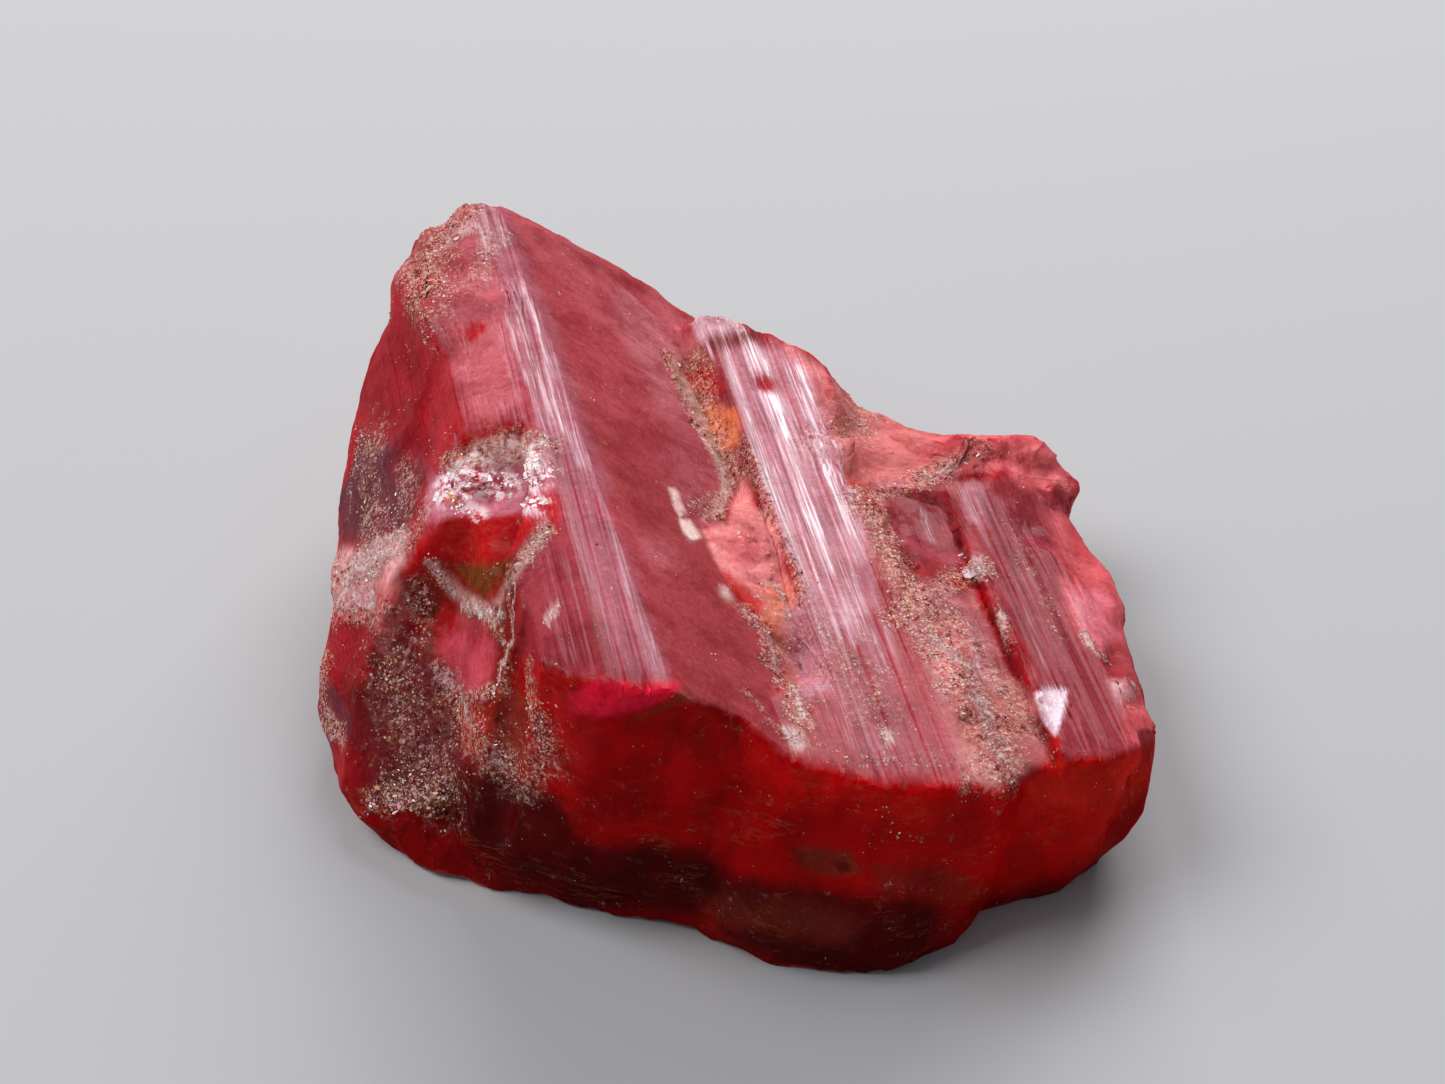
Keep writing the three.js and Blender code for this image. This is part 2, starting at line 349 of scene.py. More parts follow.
def spot(p, seed, hard, places, size, amount=1, ragged=0.35):
    # full at the heart of a place or line, fading unevenly to 0 at its edge; size in mm
    off = offLine(p, places) / size
    near = off < 1 + ragged
    off = off[near] + ragged * fractal(p[near], max(size, 0.3), seed)
    cover = np.zeros(len(p))
    cover[near] = amount * smooth(1, hard, off)
    return cover


def spotted(p, spots, seed, hard=0.45):
    # each spot is its places, its size and, if need be, its amount and raggedness
    total = np.zeros(len(p))
    for k, parts in enumerate(spots):
        total = np.maximum(total, spot(p, seed + 7 * k, hard, *parts))
    return total


# A seed for each thing that noise makes uneven; a list of places goes on from its own.
seeds = {
    "bigScallop": 5,
    "midScallop": 6,
    "ruggedScallop": 8,
    "rugged": 11,
    "crusts": 12,
    "sheens": 13,
    "glints": 14,
    "splinter": 15,
    "pales": 17,
    "knobs": 18,
    "dints": 19,
    "pushes": 20,
    "scattered": 35,
    "warp": 40,
    "calm": 60,
    "roughness": 61,
    "ruggedGrain": 62,
    "crustGrain": 63,
    "crustPatch": 64,
    "striaWander": 70,
    "striaFade": 74,
    "wear": 80,
    "backShadeClouds": 91,
    "grainPatches": 91,
    "washes": 100,
    "amber": 160,
    "regions": 300,
    "streaks": 400,
    "ribs": 500,
}

# Where the surface is broken up or crusted, and so is cut more finely.
rugged = {
    "peak crust": ([(448, 215), (432, 262), (436, 300)], 1.1),
    "flank crust": ([(372, 470), (368, 520)], 0.9, 0.7),
    "pale shoulder": ([(352, 575), (385, 590)], 0.9),
    "left field": ([(400, 640), (420, 760)], 2.4, 0.55),
    "field foot": ([(400, 800), (440, 810)], 1.2, 0.8),
    "column": ([(520, 570), (508, 640), (480, 720)], 1.0, 0.8),
    "ledge": ([(460, 490), (530, 490)], 1.2, 0.6),
    "ledge back": ([(480, 455), (535, 440)], 0.7, 0.4),
    "trough": ([(683, 350), (700, 395), (722, 440), (735, 480)], 0.85),
    "trough line": ([(668, 372), (703, 437), (727, 472), (729, 500), (715, 524)], 0.4),
    "fresh break": ([(735, 535), (768, 575)], 1.3),
    "below the fresh break": ([(748, 622), (775, 655), (800, 700)], 0.6, 0.7),
    "notch": ([(765, 382)], 0.5),
    "hollow": ([(840, 400), (880, 430), (905, 475)], 1.3, 0.5),
    "flap": ([(935, 465), (1000, 450), (1050, 460)], 0.9),
    "blade crust": ([(880, 520), (905, 590), (945, 655), (985, 740)], 1.0),
    "riser": ([(957, 510), (985, 600), (1020, 665)], 0.55),
    "pale chip": ([(1036, 700), (1066, 700), (1052, 728)], 0.45),
    "pits": ([(478, 325), (500, 392)], 0.5),
    "margin": ([(1060, 480), (1085, 550), (1100, 610), (1112, 660), (1140, 715)], 0.9),
}

# Small painted chips that need a fine net as well, though the surface stays smooth there.
chips = {
    "face chips": ([(673, 492), (683, 512), (697, 536)], 0.5),
    "face dot": ([(724, 592)], 0.3),
    "dash": ([(545, 622), (560, 603)], 0.3),
    "soft spot": ([(655, 550), (672, 562)], 0.6),
    "low chip": ([(887, 736)], 0.35),
    "channel": ([(950, 494), (968, 545)], 0.4),
    "chip": ([(1036, 690), (1068, 690), (1055, 736)], 0.4),
}
finelyCut = [*rugged.values(), *chips.values()]

# The crystal's flat faces: a point on each, how far it leans from level, and the way it faces.
flats = {
    "ridge": {"point": (-3.15, 0, 9.3), "lean": 12, "toward": 0},
    "leftTop": {"point": (-4.7, 0, 9.62), "lean": 13, "toward": 180},
    "leftFlank": {"point": (-6.7, 0, 9.15), "lean": 51, "toward": 180},
    "darkFlank": {"point": (-9.5, 0, 5.6), "lean": 66, "toward": 180},
    "cleavage": {"point": (-3.15, -10, 9.3), "lean": 38, "toward": 2},
    "blade": {"point": (1.6, 0, 6.62), "lean": 12, "toward": 0},
    "bladeWall": {"point": (1.6, 0, 6.62), "lean": 50, "toward": 180},
    "margin": {"point": (9.4, 0, 4.96), "lean": 38, "toward": 0},
    "underside": {"point": (0, 0, 0), "lean": 180, "toward": 0},
}
kindOf = {"broken": 0, "striated": 1, "cleavage": 2, "underside": 3}
sorting = {
    "sameWay": 0.9995,  # cosine between a triangle and its flat
    "onPlane": 0.03,
    "onFloor": 0.01,
    "stepDepth": 0.16,  # the coarse steps of the striae lie this far below their flat
    "alongZone": 0.012,
    "upward": 0.2,
}
cutting = {
    "broken": 0.21,  # longest edge
    "cleavage": 0.2,
    "underside": 0.7,
    "across": 0.05,  # over the striae
    "along": 0.5,
    "rim": 0.14,  # at the ends of the striated faces
    "rugged": 0.11,
    "ruggedFrom": (0.1, 0.4),
    "ruggedNet": 0.25,
    "hidden": 1.7,  # times coarser at the back
    "back": (2, 9),
    "backBelow": 8,
    "gap": 0.55,  # between the net and the rim, in steps of the net
    "closeGap": 0.5,
}


def kindsOf(points, tris):
    normal, centre = unit(crossOf(points, tris)), points[tris].mean(axis=1)
    kinds = np.zeros(len(tris), int)
    onZone = (np.abs(normal[:, 1]) < sorting["alongZone"]) & (normal[:, 2] > sorting["upward"])
    for name, flat in flats.items():
        out = facing(flat["lean"], flat["toward"])
        off = (centre - np.array(flat["point"])) @ out
        same = normal @ out > sorting["sameWay"]
        onPlane = same & (np.abs(off) < sorting["onPlane"])
        if name == "underside":
            kinds[same & (np.abs(off) < sorting["onFloor"])] = kindOf["underside"]
        elif name == "cleavage":
            kinds[onPlane] = kindOf["cleavage"]
        else:
            onStep = onZone & (off < sorting["onPlane"]) & (off > -sorting["stepDepth"])
            kinds[onPlane | onStep] = kindOf["striated"]
    return kinds


def patchesOf(points, tris, kinds):
    # numbers each flat patch: neighbouring triangles of one kind in one plane
    which = edgesOf(tris)[1]
    order = np.argsort(which.ravel(), kind="stable")
    pair = order.reshape(-1, 2) // 3  # a closed surface has two triangles on each edge
    normal = unit(crossOf(points, tris))
    flat = (normal[pair[:, 0]] * normal[pair[:, 1]]).sum(axis=1) > 0.99999
    pair = pair[flat & (kinds[pair[:, 0]] == kinds[pair[:, 1]]) & (kinds[pair[:, 0]] > 0)]
    patch = np.where(kinds > 0, np.arange(len(tris)), -1)
    while True:
        low = np.minimum(patch[pair[:, 0]], patch[pair[:, 1]])
        before = patch.copy()
        np.minimum.at(patch, pair[:, 0], low)
        np.minimum.at(patch, pair[:, 1], low)
        if (before == patch).all():
            return patch


def edgeTooLong(points, edges, which, patch):
    # looks at the broken surfaces and at the rims of the flat patches
    step = points[edges[:, 1]] - points[edges[:, 0]]
    middle = points[edges].mean(axis=1)
    high, low = np.full(len(edges), -2), np.full(len(edges), len(points) + len(patch))
    for k in range(3):
        np.maximum.at(high, which[:, k], patch)
        np.minimum.at(low, which[:, k], patch)
    isRim = high != low
    striated = np.zeros(len(edges), bool)
    striated[which[np.isin(patch, striatedPatches)].ravel()] = True
    isBack = smooth(*cutting["back"], middle[:, 1]) * (middle[:, 2] < cutting["backBelow"])
    limit = cutting["broken"] * (1 + (cutting["hidden"] - 1) * isBack)
    limit = np.where(low < 0, limit, cutting["cleavage"])
    fine = smooth(*cutting["ruggedFrom"], spotted(middle, finelyCut, seeds["rugged"]))
    limit = limit + (cutting["rugged"] - limit) * fine
    across = np.hypot(step[:, 0], step[:, 2]) / cutting["rim"]
    along = np.abs(step[:, 1]) / cutting["along"]
    creased = striated & isRim & (np.hypot(across, along) > 1)
    plain = (low < 0) | isRim & ~(striated & (low >= 0))
    return plain & (np.linalg.norm(step, axis=1) > limit) | creased


def clearOf(p, others, gap):
    # the points of p that stay a gap away from all the others, by way of a grid of cells
    taken = {}
    for q in others:
        taken.setdefault((int(q[0] // gap), int(q[1] // gap)), []).append(q)
    keep = np.ones(len(p), bool)
    for i, q in enumerate(p):
        cx, cy = int(q[0] // gap), int(q[1] // gap)
        near = [o for dx in (-1, 0, 1) for dy in (-1, 0, 1) for o in taken.get((cx + dx, cy + dy), ())]
        keep[i] = all((o[0] - q[0]) ** 2 + (o[1] - q[1]) ** 2 > gap * gap for o in near)
    return keep


def evenPatch(points, tris, kind):
    # the same flat patch with the same rim, filled with an even net of triangles
    normal = unit(crossOf(points, tris).sum(axis=0))
    if kind == kindOf["striated"]:
        v = np.array([0.0, 1.0, 0.0])
        spacing = np.array([cutting["across"], cutting["along"]])
    elif kind == kindOf["underside"]:
        v = unit(np.cross(normal, [0.3, 0.1, 0.9]))
        spacing = np.full(2, cutting["underside"])
    else:
        v = unit(np.cross(normal, [1.0, 0.0, 0.0]))
        spacing = np.full(2, cutting["cleavage"])
    u = unit(np.cross(v, normal))
    directed = directedEdges(tris)
    size = int(tris.max()) + 1
    keys = directed[:, 0] * size + directed[:, 1]
    rim = directed[~np.isin(keys, directed[:, 1] * size + directed[:, 0])]
    used = np.unique(rim)
    level = points[used[0]] @ normal
    flat = np.stack([points[used] @ u, points[used] @ v], axis=1) / spacing
    number = np.zeros(size, int)
    number[used] = np.arange(len(used))
    start, end = flat[number[rim[:, 0]]], flat[number[rim[:, 1]]]
    low, high = flat.min(axis=0), flat.max(axis=0)

    def place(q):
        return (q * spacing)[:, :1] * u + (q * spacing)[:, 1:] * v + level * normal

    first, last = np.floor(low).astype(int), np.ceil(high).astype(int) + 1
    rows, columns = np.mgrid[first[1] : last[1], first[0] : last[0]]
    net = np.stack([columns.ravel(), rows.ravel() + 0.5 * (columns.ravel() % 2)], axis=1).astype(float)
    net = net[insideOutline(net, start, end)]
    if len(net):
        net = net[clearOf(net, flat, cutting["gap"])]
    if kind != kindOf["underside"]:
        fine = cutting["rugged"] / spacing
        rows, columns = np.mgrid[low[1] : high[1] : fine[1], low[0] : high[0] : fine[0]]
        shift = 0.5 * fine[0] * (np.arange(rows.size) // rows.shape[1] % 2)  # every second row
        close = np.stack([columns.ravel() + shift, rows.ravel()], axis=1)
        close = close[spotted(place(close), finelyCut, seeds["rugged"]) > cutting["ruggedNet"]]
        close = close[insideOutline(close, start, end)]
        if len(close):
            net = net[spotted(place(net), finelyCut, seeds["rugged"]) <= cutting["ruggedNet"]]
            near = clearOf(close * spacing, flat * spacing, cutting["closeGap"] * cutting["rugged"])
            net = np.vstack([net, close[near]])
    every = np.vstack([flat, net])
    made = delaunay_2d_cdt([Vector(q) for q in every], number[rim].tolist(), [], 1, 1e-7)
    if len(made[0]) != len(every):
        return None
    fill = np.array(made[2])
    fill = fill[insideOutline(every[fill].mean(axis=1), start, end)]
    a, b, c = every[fill[:, 0]], every[fill[:, 1]], every[fill[:, 2]]
    turned = (b[:, 0] - a[:, 0]) * (c[:, 1] - a[:, 1]) - (b[:, 1] - a[:, 1]) * (c[:, 0] - a[:, 0]) < 0
    fill[turned] = fill[turned][:, ::-1]
    new = place(net)
    filled = np.concatenate([used, len(points) + np.arange(len(net))])[fill]
    whole = areasOf(points, tris).sum()
    if abs(areasOf(np.vstack([points, new]), filled).sum() - whole) > 1e-3 * whole:
        return None
    return new, filled


kinds = kindsOf(points, tris)
patch = patchesOf(points, tris, kinds)
kindOfPatch = dict(zip(patch.tolist(), kinds.tolist()))
striatedPatches = [name for name, kind in kindOfPatch.items() if kind == kindOf["striated"]]
points, tris, patch = splitLong(points, tris, patch, edgeTooLong)
print("edges cut, triangles:", len(tris))
keptTris, keptKinds = [tris[patch < 0]], [np.zeros((patch < 0).sum(), int)]
for name, kind in kindOfPatch.items():
    if name < 0:
        continue
    own = tris[patch == name]
    even = evenPatch(points, own, kind)
    if even:  # a patch that can't be filled evenly stays as it was cut
        points = np.vstack([points, even[0]])
        own = even[1]
    keptTris.append(own)
    keptKinds.append(np.full(len(own), kind))
tris, kinds = np.vstack(keptTris), np.concatenate(keptKinds)
print("mesh of", len(tris), "triangles")

cutPoints = points.copy()
areas = areasOf(points, tris)
share = gathered(len(points), tris, areas[:, None] * (kinds[:, None] == np.arange(len(kindOf))[None, :]))
share /= share.sum(axis=1, keepdims=True)
broken, striated, _, under = share.T  # how much of each kind meets at a point
edges, _ = edgesOf(tris)
print("vertices:", len(points))

# How the crystal's surface is worked; lengths in mm.
shape = {
    "rounding": 9,  # rounds of smoothing that take the coarse facets off the breaks
    "breakPull": 0.5,
    "rimPull": 0.12,
    "warp": 2.5,
    "bigScallop": 3.4,
    "bigWarp": 0.9,
    "bigDepth": 0.34,
    "midScallop": 1.3,
    "midWarp": 0.35,
    "midDepth": 0.11,
    "level": 0.35,  # the height in a scallop that stays where it was
    "calmPatch": 3,
    "calmest": 0.45,  # of the middle scallops' depth
    "roughness": 0.03,
    "roughSize": 0.5,
    "ruggedScallop": 0.75,
    "ruggedWarp": 0.2,
    "ruggedDepth": 0.16,
    "ruggedLevel": 0.4,
    "ruggedGrain": 0.03,
    "grainSize": 0.3,
    "splinter": 0.42,
    "splinterWarp": 0.08,
    "splinterDepth": 0.16,
    "crustThickness": 0.05,
    "crustGrain": 0.22,
    "crustPatch": 0.7,
    "striaDepth": 0.012,
    "striaRounds": 6,
    "striaSmoothing": 0.75,
    "striaWander": 0.05,
    "faintest": 0.35,  # of the striae's depth
    "striaSteps": {71: (0.45, 0.31), 72: (0.6, 0.14), 73: (0.5, 0.9)},  # seed: share of the depth, width
    "chip": 0.75,
    "wearRounds": 8,
    "chipPatch": 0.9,
    "leastWear": 0.12,
    "sharpAngle": 38,
}

# Granular cream and gold crusts: thick ones build up on the surface.
crusts = {
    "peak": ([(462, 214), (440, 235), (425, 275), (436, 300)], 1.5, 0.55),
    "peak edge": ([(445, 330), (470, 300), (500, 235)], 0.8, 0.4),
    "flank": ([(375, 440), (368, 500), (380, 540)], 1.4, 0.45),
    "flank right": ([(405, 470), (410, 510)], 0.9, 0.45),
    "shoulder": ([(335, 575), (365, 575), (400, 545)], 1.0),
    "shoulder foot": ([(340, 610), (385, 610)], 0.8, 0.7),
    "left edge": ([(328, 655), (332, 720), (345, 740)], 0.5, 0.9),
    "field": ([(395, 660), (405, 730), (430, 790)], 2.6, 0.36),
    "field foot": ([(385, 800), (440, 795)], 1.0, 0.6),
    "field streak": ([(452, 700), (480, 740), (510, 770)], 1.4, 0.6),
    "field right": ([(530, 680), (545, 740), (530, 790)], 1.0, 0.6),
    "column line": ([(548, 530), (520, 565), (508, 600), (510, 640), (500, 690)], 0.4, 0.75),
    "column left line": ([(430, 562), (455, 592), (480, 612), (500, 640)], 0.3, 0.75),
    "column heart": ([(470, 608), (500, 615)], 0.35, 0.6),
    "lens foot": ([(440, 665), (462, 700), (490, 690)], 0.35, 0.9),
    "wall side": ([(430, 500), (415, 540), (420, 590), (425, 640)], 0.6, 0.6),
    "ledge back": ([(455, 470), (500, 450), (545, 440)], 0.8, 0.8),
    "ledge": ([(450, 495), (500, 490)], 0.6, 0.4),
    "trough line": ([(664, 352), (676, 382), (703, 437), (722, 468), (728, 492), (718, 520)], 0.35),
    "trough": ([(695, 360), (712, 420), (735, 480)], 0.9, 0.6),
    "trough tip": ([(700, 505), (720, 500)], 0.8, 0.45),
    "below the fresh break": ([(745, 612), (768, 640), (790, 690), (803, 725)], 0.6, 0.75),
    "under the blade's edge": ([(745, 440), (768, 512), (795, 565), (800, 600)], 0.4, 0.7),
    "hollow": ([(840, 380), (868, 415), (860, 445)], 1.2, 0.35),
    "hollow foot": ([(870, 498), (900, 490)], 0.6, 0.7),
    "flap": ([(912, 482), (945, 458), (985, 450)], 0.8, 0.7),
    "blade crust": ([(862, 500), (885, 545), (915, 600), (950, 650), (975, 700)], 1.0, 0.7),
    "blade crust beside": ([(920, 600), (965, 575), (985, 565)], 0.8, 0.7),
    "blade crust middle": ([(900, 620), (960, 680)], 0.9, 0.6),
    "blade crust foot": ([(955, 690), (985, 720), (1000, 765)], 1.2, 0.75),
    "under the channel": ([(945, 610), (975, 650), (1010, 700), (1030, 740)], 1.0, 0.5),
    "blade speckle": ([(800, 620), (880, 700)], 2.2, 0.3),
    "rim": ([(745, 690), (785, 740), (880, 762), (950, 758)], 0.4, 0.4),
    "rim tab": ([(965, 785), (985, 770), (1000, 775)], 0.4, 0.6),
    "riser foot": ([(1000, 615), (1010, 650)], 0.35, 0.7),
    "panel streaks": ([(1010, 520), (1045, 600), (1060, 640)], 0.6, 0.25),
    "margin": ([(1085, 640), (1105, 655)], 0.4, 0.7),
    "margin edge": ([(1130, 690), (1150, 712)], 0.45, 0.7),
    "flecks": ([(885, 735)], 0.35, 0.8),
}

# Whitish pink crust and chips.
pales = {
    "shoulder": ([(332, 572), (360, 572), (398, 545)], 0.9),
    "shoulder foot": ([(335, 605), (375, 600)], 0.7, 0.75),
    "flank edge": ([(362, 430), (350, 520)], 0.5, 0.5),
    "ledge back": ([(455, 468), (500, 450), (540, 445)], 0.7, 0.5),
    "column heart": ([(465, 606), (498, 614)], 0.35, 0.8),
    "column": ([(545, 535), (515, 590), (510, 640), (500, 680)], 0.35, 0.7),
    "column left": ([(432, 565), (470, 605)], 0.3, 0.75),
    "lens foot": ([(445, 675), (465, 705), (500, 760)], 0.5, 0.7),
    "field foot": ([(400, 800), (450, 790)], 0.7, 0.3),
    "left edge": ([(330, 700), (334, 740)], 0.3, 0.7),
    "peak": ([(425, 240), (440, 280)], 0.9, 0.2),
    "far facet": ([(690, 314), (720, 318), (738, 328)], 0.35, 0.85),
    "strip dot": ([(613, 590)], 0.15, 0.75),
    "lower dash": ([(545, 622), (560, 604)], 0.14, 0.8),
    "pale dot": ([(500, 643)], 0.2),
    "trough edge": ([(703, 437), (722, 468), (728, 492), (720, 515)], 0.2, 0.85),
    "fresh break": ([(775, 585), (790, 620)], 0.35, 0.6),
    "below the fresh break": ([(768, 640), (795, 690), (803, 720)], 0.3, 0.7),
    "rim left": ([(785, 728), (800, 748)], 0.35, 0.8),
    "rim": ([(840, 765), (900, 772), (960, 768)], 0.25, 0.55),
    "flecks": ([(888, 735)], 0.3, 0.85),
    "crust heart": ([(935, 640), (965, 665)], 0.6, 0.7),
    "crust foot": ([(975, 700), (1000, 755)], 0.8, 0.6),
    "crust sparks": ([(962, 562), (978, 572)], 0.25, 0.4),
    "rim tab": ([(965, 790), (985, 772)], 0.3, 0.4),
    "riser foot": ([(1000, 610), (1008, 640)], 0.25, 0.75),
    "margin stripe": ([(1083, 632), (1098, 655)], 0.24, 0.95),
    "margin edge": ([(1128, 690), (1150, 715)], 0.3, 0.7),
    "flap": ([(930, 480), (960, 458)], 0.5, 0.5),
}

# Rounded lumps standing out of the surface, and dints sunk into it; their amounts are in mm.
knobs = {
    "left side": ([(331, 560), (329, 650), (333, 700)], 2.0, 0.4),
    "left shoulder": ([(338, 572), (356, 562)], 0.8, 0.28),
    "shoulder right": ([(388, 560)], 0.55, 0.25),
    "left top": ([(352, 420), (345, 500)], 1.2, 0.16),
    "peak": ([(412, 245), (405, 285)], 1.3, 0.56),
    "peak top": ([(432, 220), (470, 206), (505, 204)], 0.8, 0.3),
    "brow": ([(540, 232), (600, 265), (650, 292)], 0.7, 0.13),
    "left brow": ([(372, 355), (362, 380)], 0.7, 0.16),
    "far corner": ([(830, 372), (855, 398)], 0.8, 0.2),
    "margin top": ([(1075, 520), (1090, 545)], 0.7, 0.22),
    "margin": ([(1100, 572), (1112, 612)], 0.9, 0.26),
    "margin lump": ([(1080, 590)], 0.7, 0.22),
    "margin knob": ([(1122, 690), (1150, 708)], 0.6, 0.26),
    "flap": ([(1020, 450), (1045, 455)], 0.5, 0.12),
}
dints = {
    "left brow": ([(386, 315), (378, 332)], 0.5, 0.16),
    "flap": ([(925, 436), (960, 430), (1000, 428)], 0.8, 0.28),
    "flap end": ([(1072, 452), (1078, 480)], 0.8, 0.3),
    "margin notch": ([(1074, 500), (1072, 508)], 0.4, 0.2),
    "margin low": ([(1116, 650), (1112, 665)], 0.5, 0.24),
    "right foot": ([(1138, 785), (1128, 825)], 1.0, 0.45),
    "strip": ([(470, 338), (484, 322)], 0.25, 0.08),
    "strip low": ([(500, 392)], 0.2, 0.07),
    "notch": ([(765, 383), (776, 376)], 0.3, 0.12),
}

# Places pushed bodily to the right, up and nearer as the camera sees them, in mm.
# Where a True follows, the underside is moved as well.
pushes = {
    "peak": ([(404, 248), (424, 222)], 1.3, (-0.28, 0.18, 0)),
    "peak top": ([(438, 222), (466, 210)], 0.8, (-0.05, 0.3, 0)),
    "far corner": ([(842, 384), (862, 404)], 1.0, (0.14, 0.34, 0)),
    "far corner's tip": ([(858, 400)], 0.5, (0.1, 0.2, 0)),
    "flap's back edge": ([(944, 440)], 0.6, (0, -0.22, 0)),
    "flap's shoulder": ([(1032, 440)], 0.45, (0, -0.16, 0)),
    "blade's back end": ([(795, 334)], 0.5, (-0.1, -0.1, 0)),
    "flap end": ([(1068, 458), (1076, 478)], 0.65, (-0.4, 0.05, 0)),
    "flap foot": ([(1000, 482), (1050, 492)], 0.8, (0, 0, 0.5)),
    "margin": ([(1112, 590)], 0.6, (0.12, 0, 0)),
    "margin edge": ([(1140, 715)], 0.6, (0.12, 0.08, 0)),
    "left foot": ([(330, 775)], 1.9, (0.12, 0.05, 0)),
    "left side": ([(322, 610), (318, 665)], 1.4, (-0.38, 0, 0)),
    "under the left": ([(410, 852), (450, 866)], 1.6, (0, 0.75, 0), True),
    "under the front": ([(545, 890), (680, 920)], 1.3, (0, 0.4, 0), True),
    "foot of the front": ([(760, 950), (840, 968)], 1.0, (0, 0.28, 0), True),
    "foot of the ledge's back": ([(468, 474), (535, 470)], 0.65, (0, 0, 0.85)),
}

isBreak = (broken > 0.99).astype(float)
isRim = (1 - isBreak) * (broken > 0) * (under < 0.01)
pull = shape["breakPull"] * isBreak + shape["rimPull"] * isRim
points = relaxed(points, edges, pull, shape["rounding"])
normals = vertexNormals(points, tris)
warp = np.stack([fractal(cutPoints, shape["warp"], seeds["warp"] + k) for k in range(3)], axis=1)
big = scallops(cutPoints + shape["bigWarp"] * warp, shape["bigScallop"], seeds["bigScallop"])
mid = scallops(cutPoints + shape["midWarp"] * warp, shape["midScallop"], seeds["midScallop"])
calm = smooth(-0.3, 0.5, fractal(cutPoints, shape["calmPatch"], seeds["calm"]))
calm = shape["calmest"] + (1 - shape["calmest"]) * calm
inward = shape["bigDepth"] * (big - shape["level"]) + shape["midDepth"] * calm * (mid - shape["level"])
inward += shape["roughness"] * fractal(cutPoints, shape["roughSize"], seeds["roughness"])
points = points + normals * (inward * broken * (1 - under))[:, None]
print("breaks shaped")

ruggedness = spotted(cutPoints, rugged.values(), seeds["rugged"]) * (1 - under)
crust = spotted(cutPoints, crusts.values(), seeds["crusts"], 0) * (1 - under)
ruggedBowls = scallops(cutPoints + shape["ruggedWarp"] * warp, shape["ruggedScallop"], seeds["ruggedScallop"])
rough = shape["ruggedDepth"] * (ruggedBowls - shape["ruggedLevel"])
rough += shape["ruggedGrain"] * fractal(cutPoints, shape["grainSize"], seeds["ruggedGrain"])
splinterPoints = cutPoints + shape["splinterWarp"] * warp
chipHeight, chipTone = splinters(splinterPoints, shape["splinter"], seeds["splinter"])
rough += shape["splinterDepth"] * chipHeight
points = points + normals * (rough * ruggedness)[:, None]
grain = 0.55 + 0.45 * fractal(cutPoints, shape["crustGrain"], seeds["crustGrain"], 2)
patchy = crust + 0.7 * fractal(cutPoints, shape["crustPatch"], seeds["crustPatch"], 4)
patchy = smooth(0.25, 0.8, patchy)
points = points + normals * (shape["crustThickness"] * patchy * grain)[:, None]
pale = spotted(cutPoints, pales.values(), seeds["pales"], 0) * (1 - under)
lifted = spotted(cutPoints, knobs.values(), seeds["knobs"], 0)
lifted = lifted - spotted(cutPoints, dints.values(), seeds["dints"], 0)
points = points + normals * (lifted * (1 - under))[:, None]
toward, right, up = [np.array(part) for part in viewAxes()[:3]]
for places, size, (moveRight, moveUp, moveNearer), *whole in pushes.values():
    by = moveRight * right + moveUp * up - moveNearer * toward
    held = 0 if whole else under  # the underside stays on the floor unless the whole foot moves
    moved = spot(cutPoints, seeds["pushes"], 0, places, size) * (1 - held)
    points = points + moved[:, None] * by
print("rugged places shaped")

# the striae: narrow steps that all run along the zone axis, here deep and there faint
halfPull = np.full(len(points), 0.5)
evened = relaxed(points, edges, halfPull, shape["striaRounds"])
points = points + (evened - points) * (shape["striaSmoothing"] * striated)[:, None]
across = cutPoints[:, 0] / math.cos(math.radians(flats["ridge"]["lean"]))
across = across + shape["striaWander"] * lumps(cutPoints, np.array([3, 6, 30]), seeds["striaWander"])
line = np.stack([across, np.zeros(len(points)), np.zeros(len(points))], axis=1)
steps = sum(part * lumps(line, width, seed) for seed, (part, width) in shape["striaSteps"].items())
fade = smooth(-0.4, 0.5, lumps(cutPoints, np.array([0.5, 5, 30]), seeds["striaFade"]))
fade = shape["faintest"] + (1 - shape["faintest"]) * fade
steps = shape["striaDepth"] * steps * fade * (1 - ruggedness) * striated
points = points + vertexNormals(cutPoints, tris) * steps[:, None]
print("striae cut")

# chipped edges: here and there a crease is rubbed down to its smoothed self
soft = relaxed(points, edges, halfPull, shape["wearRounds"])
wear = smooth(0.05, 0.6, fractal(cutPoints, shape["chipPatch"], seeds["wear"]))
wear = wear * shape["chip"] + shape["leastWear"]
wear = wear * (1 - under) * (1 - 0.6 * striated) * (1 - 0.7 * ruggedness)
points = points + (soft - points) * wear[:, None]
points[:, 2] = np.maximum(points[:, 2], 0)
normals = vertexNormals(points, tris)
print("edges worn")

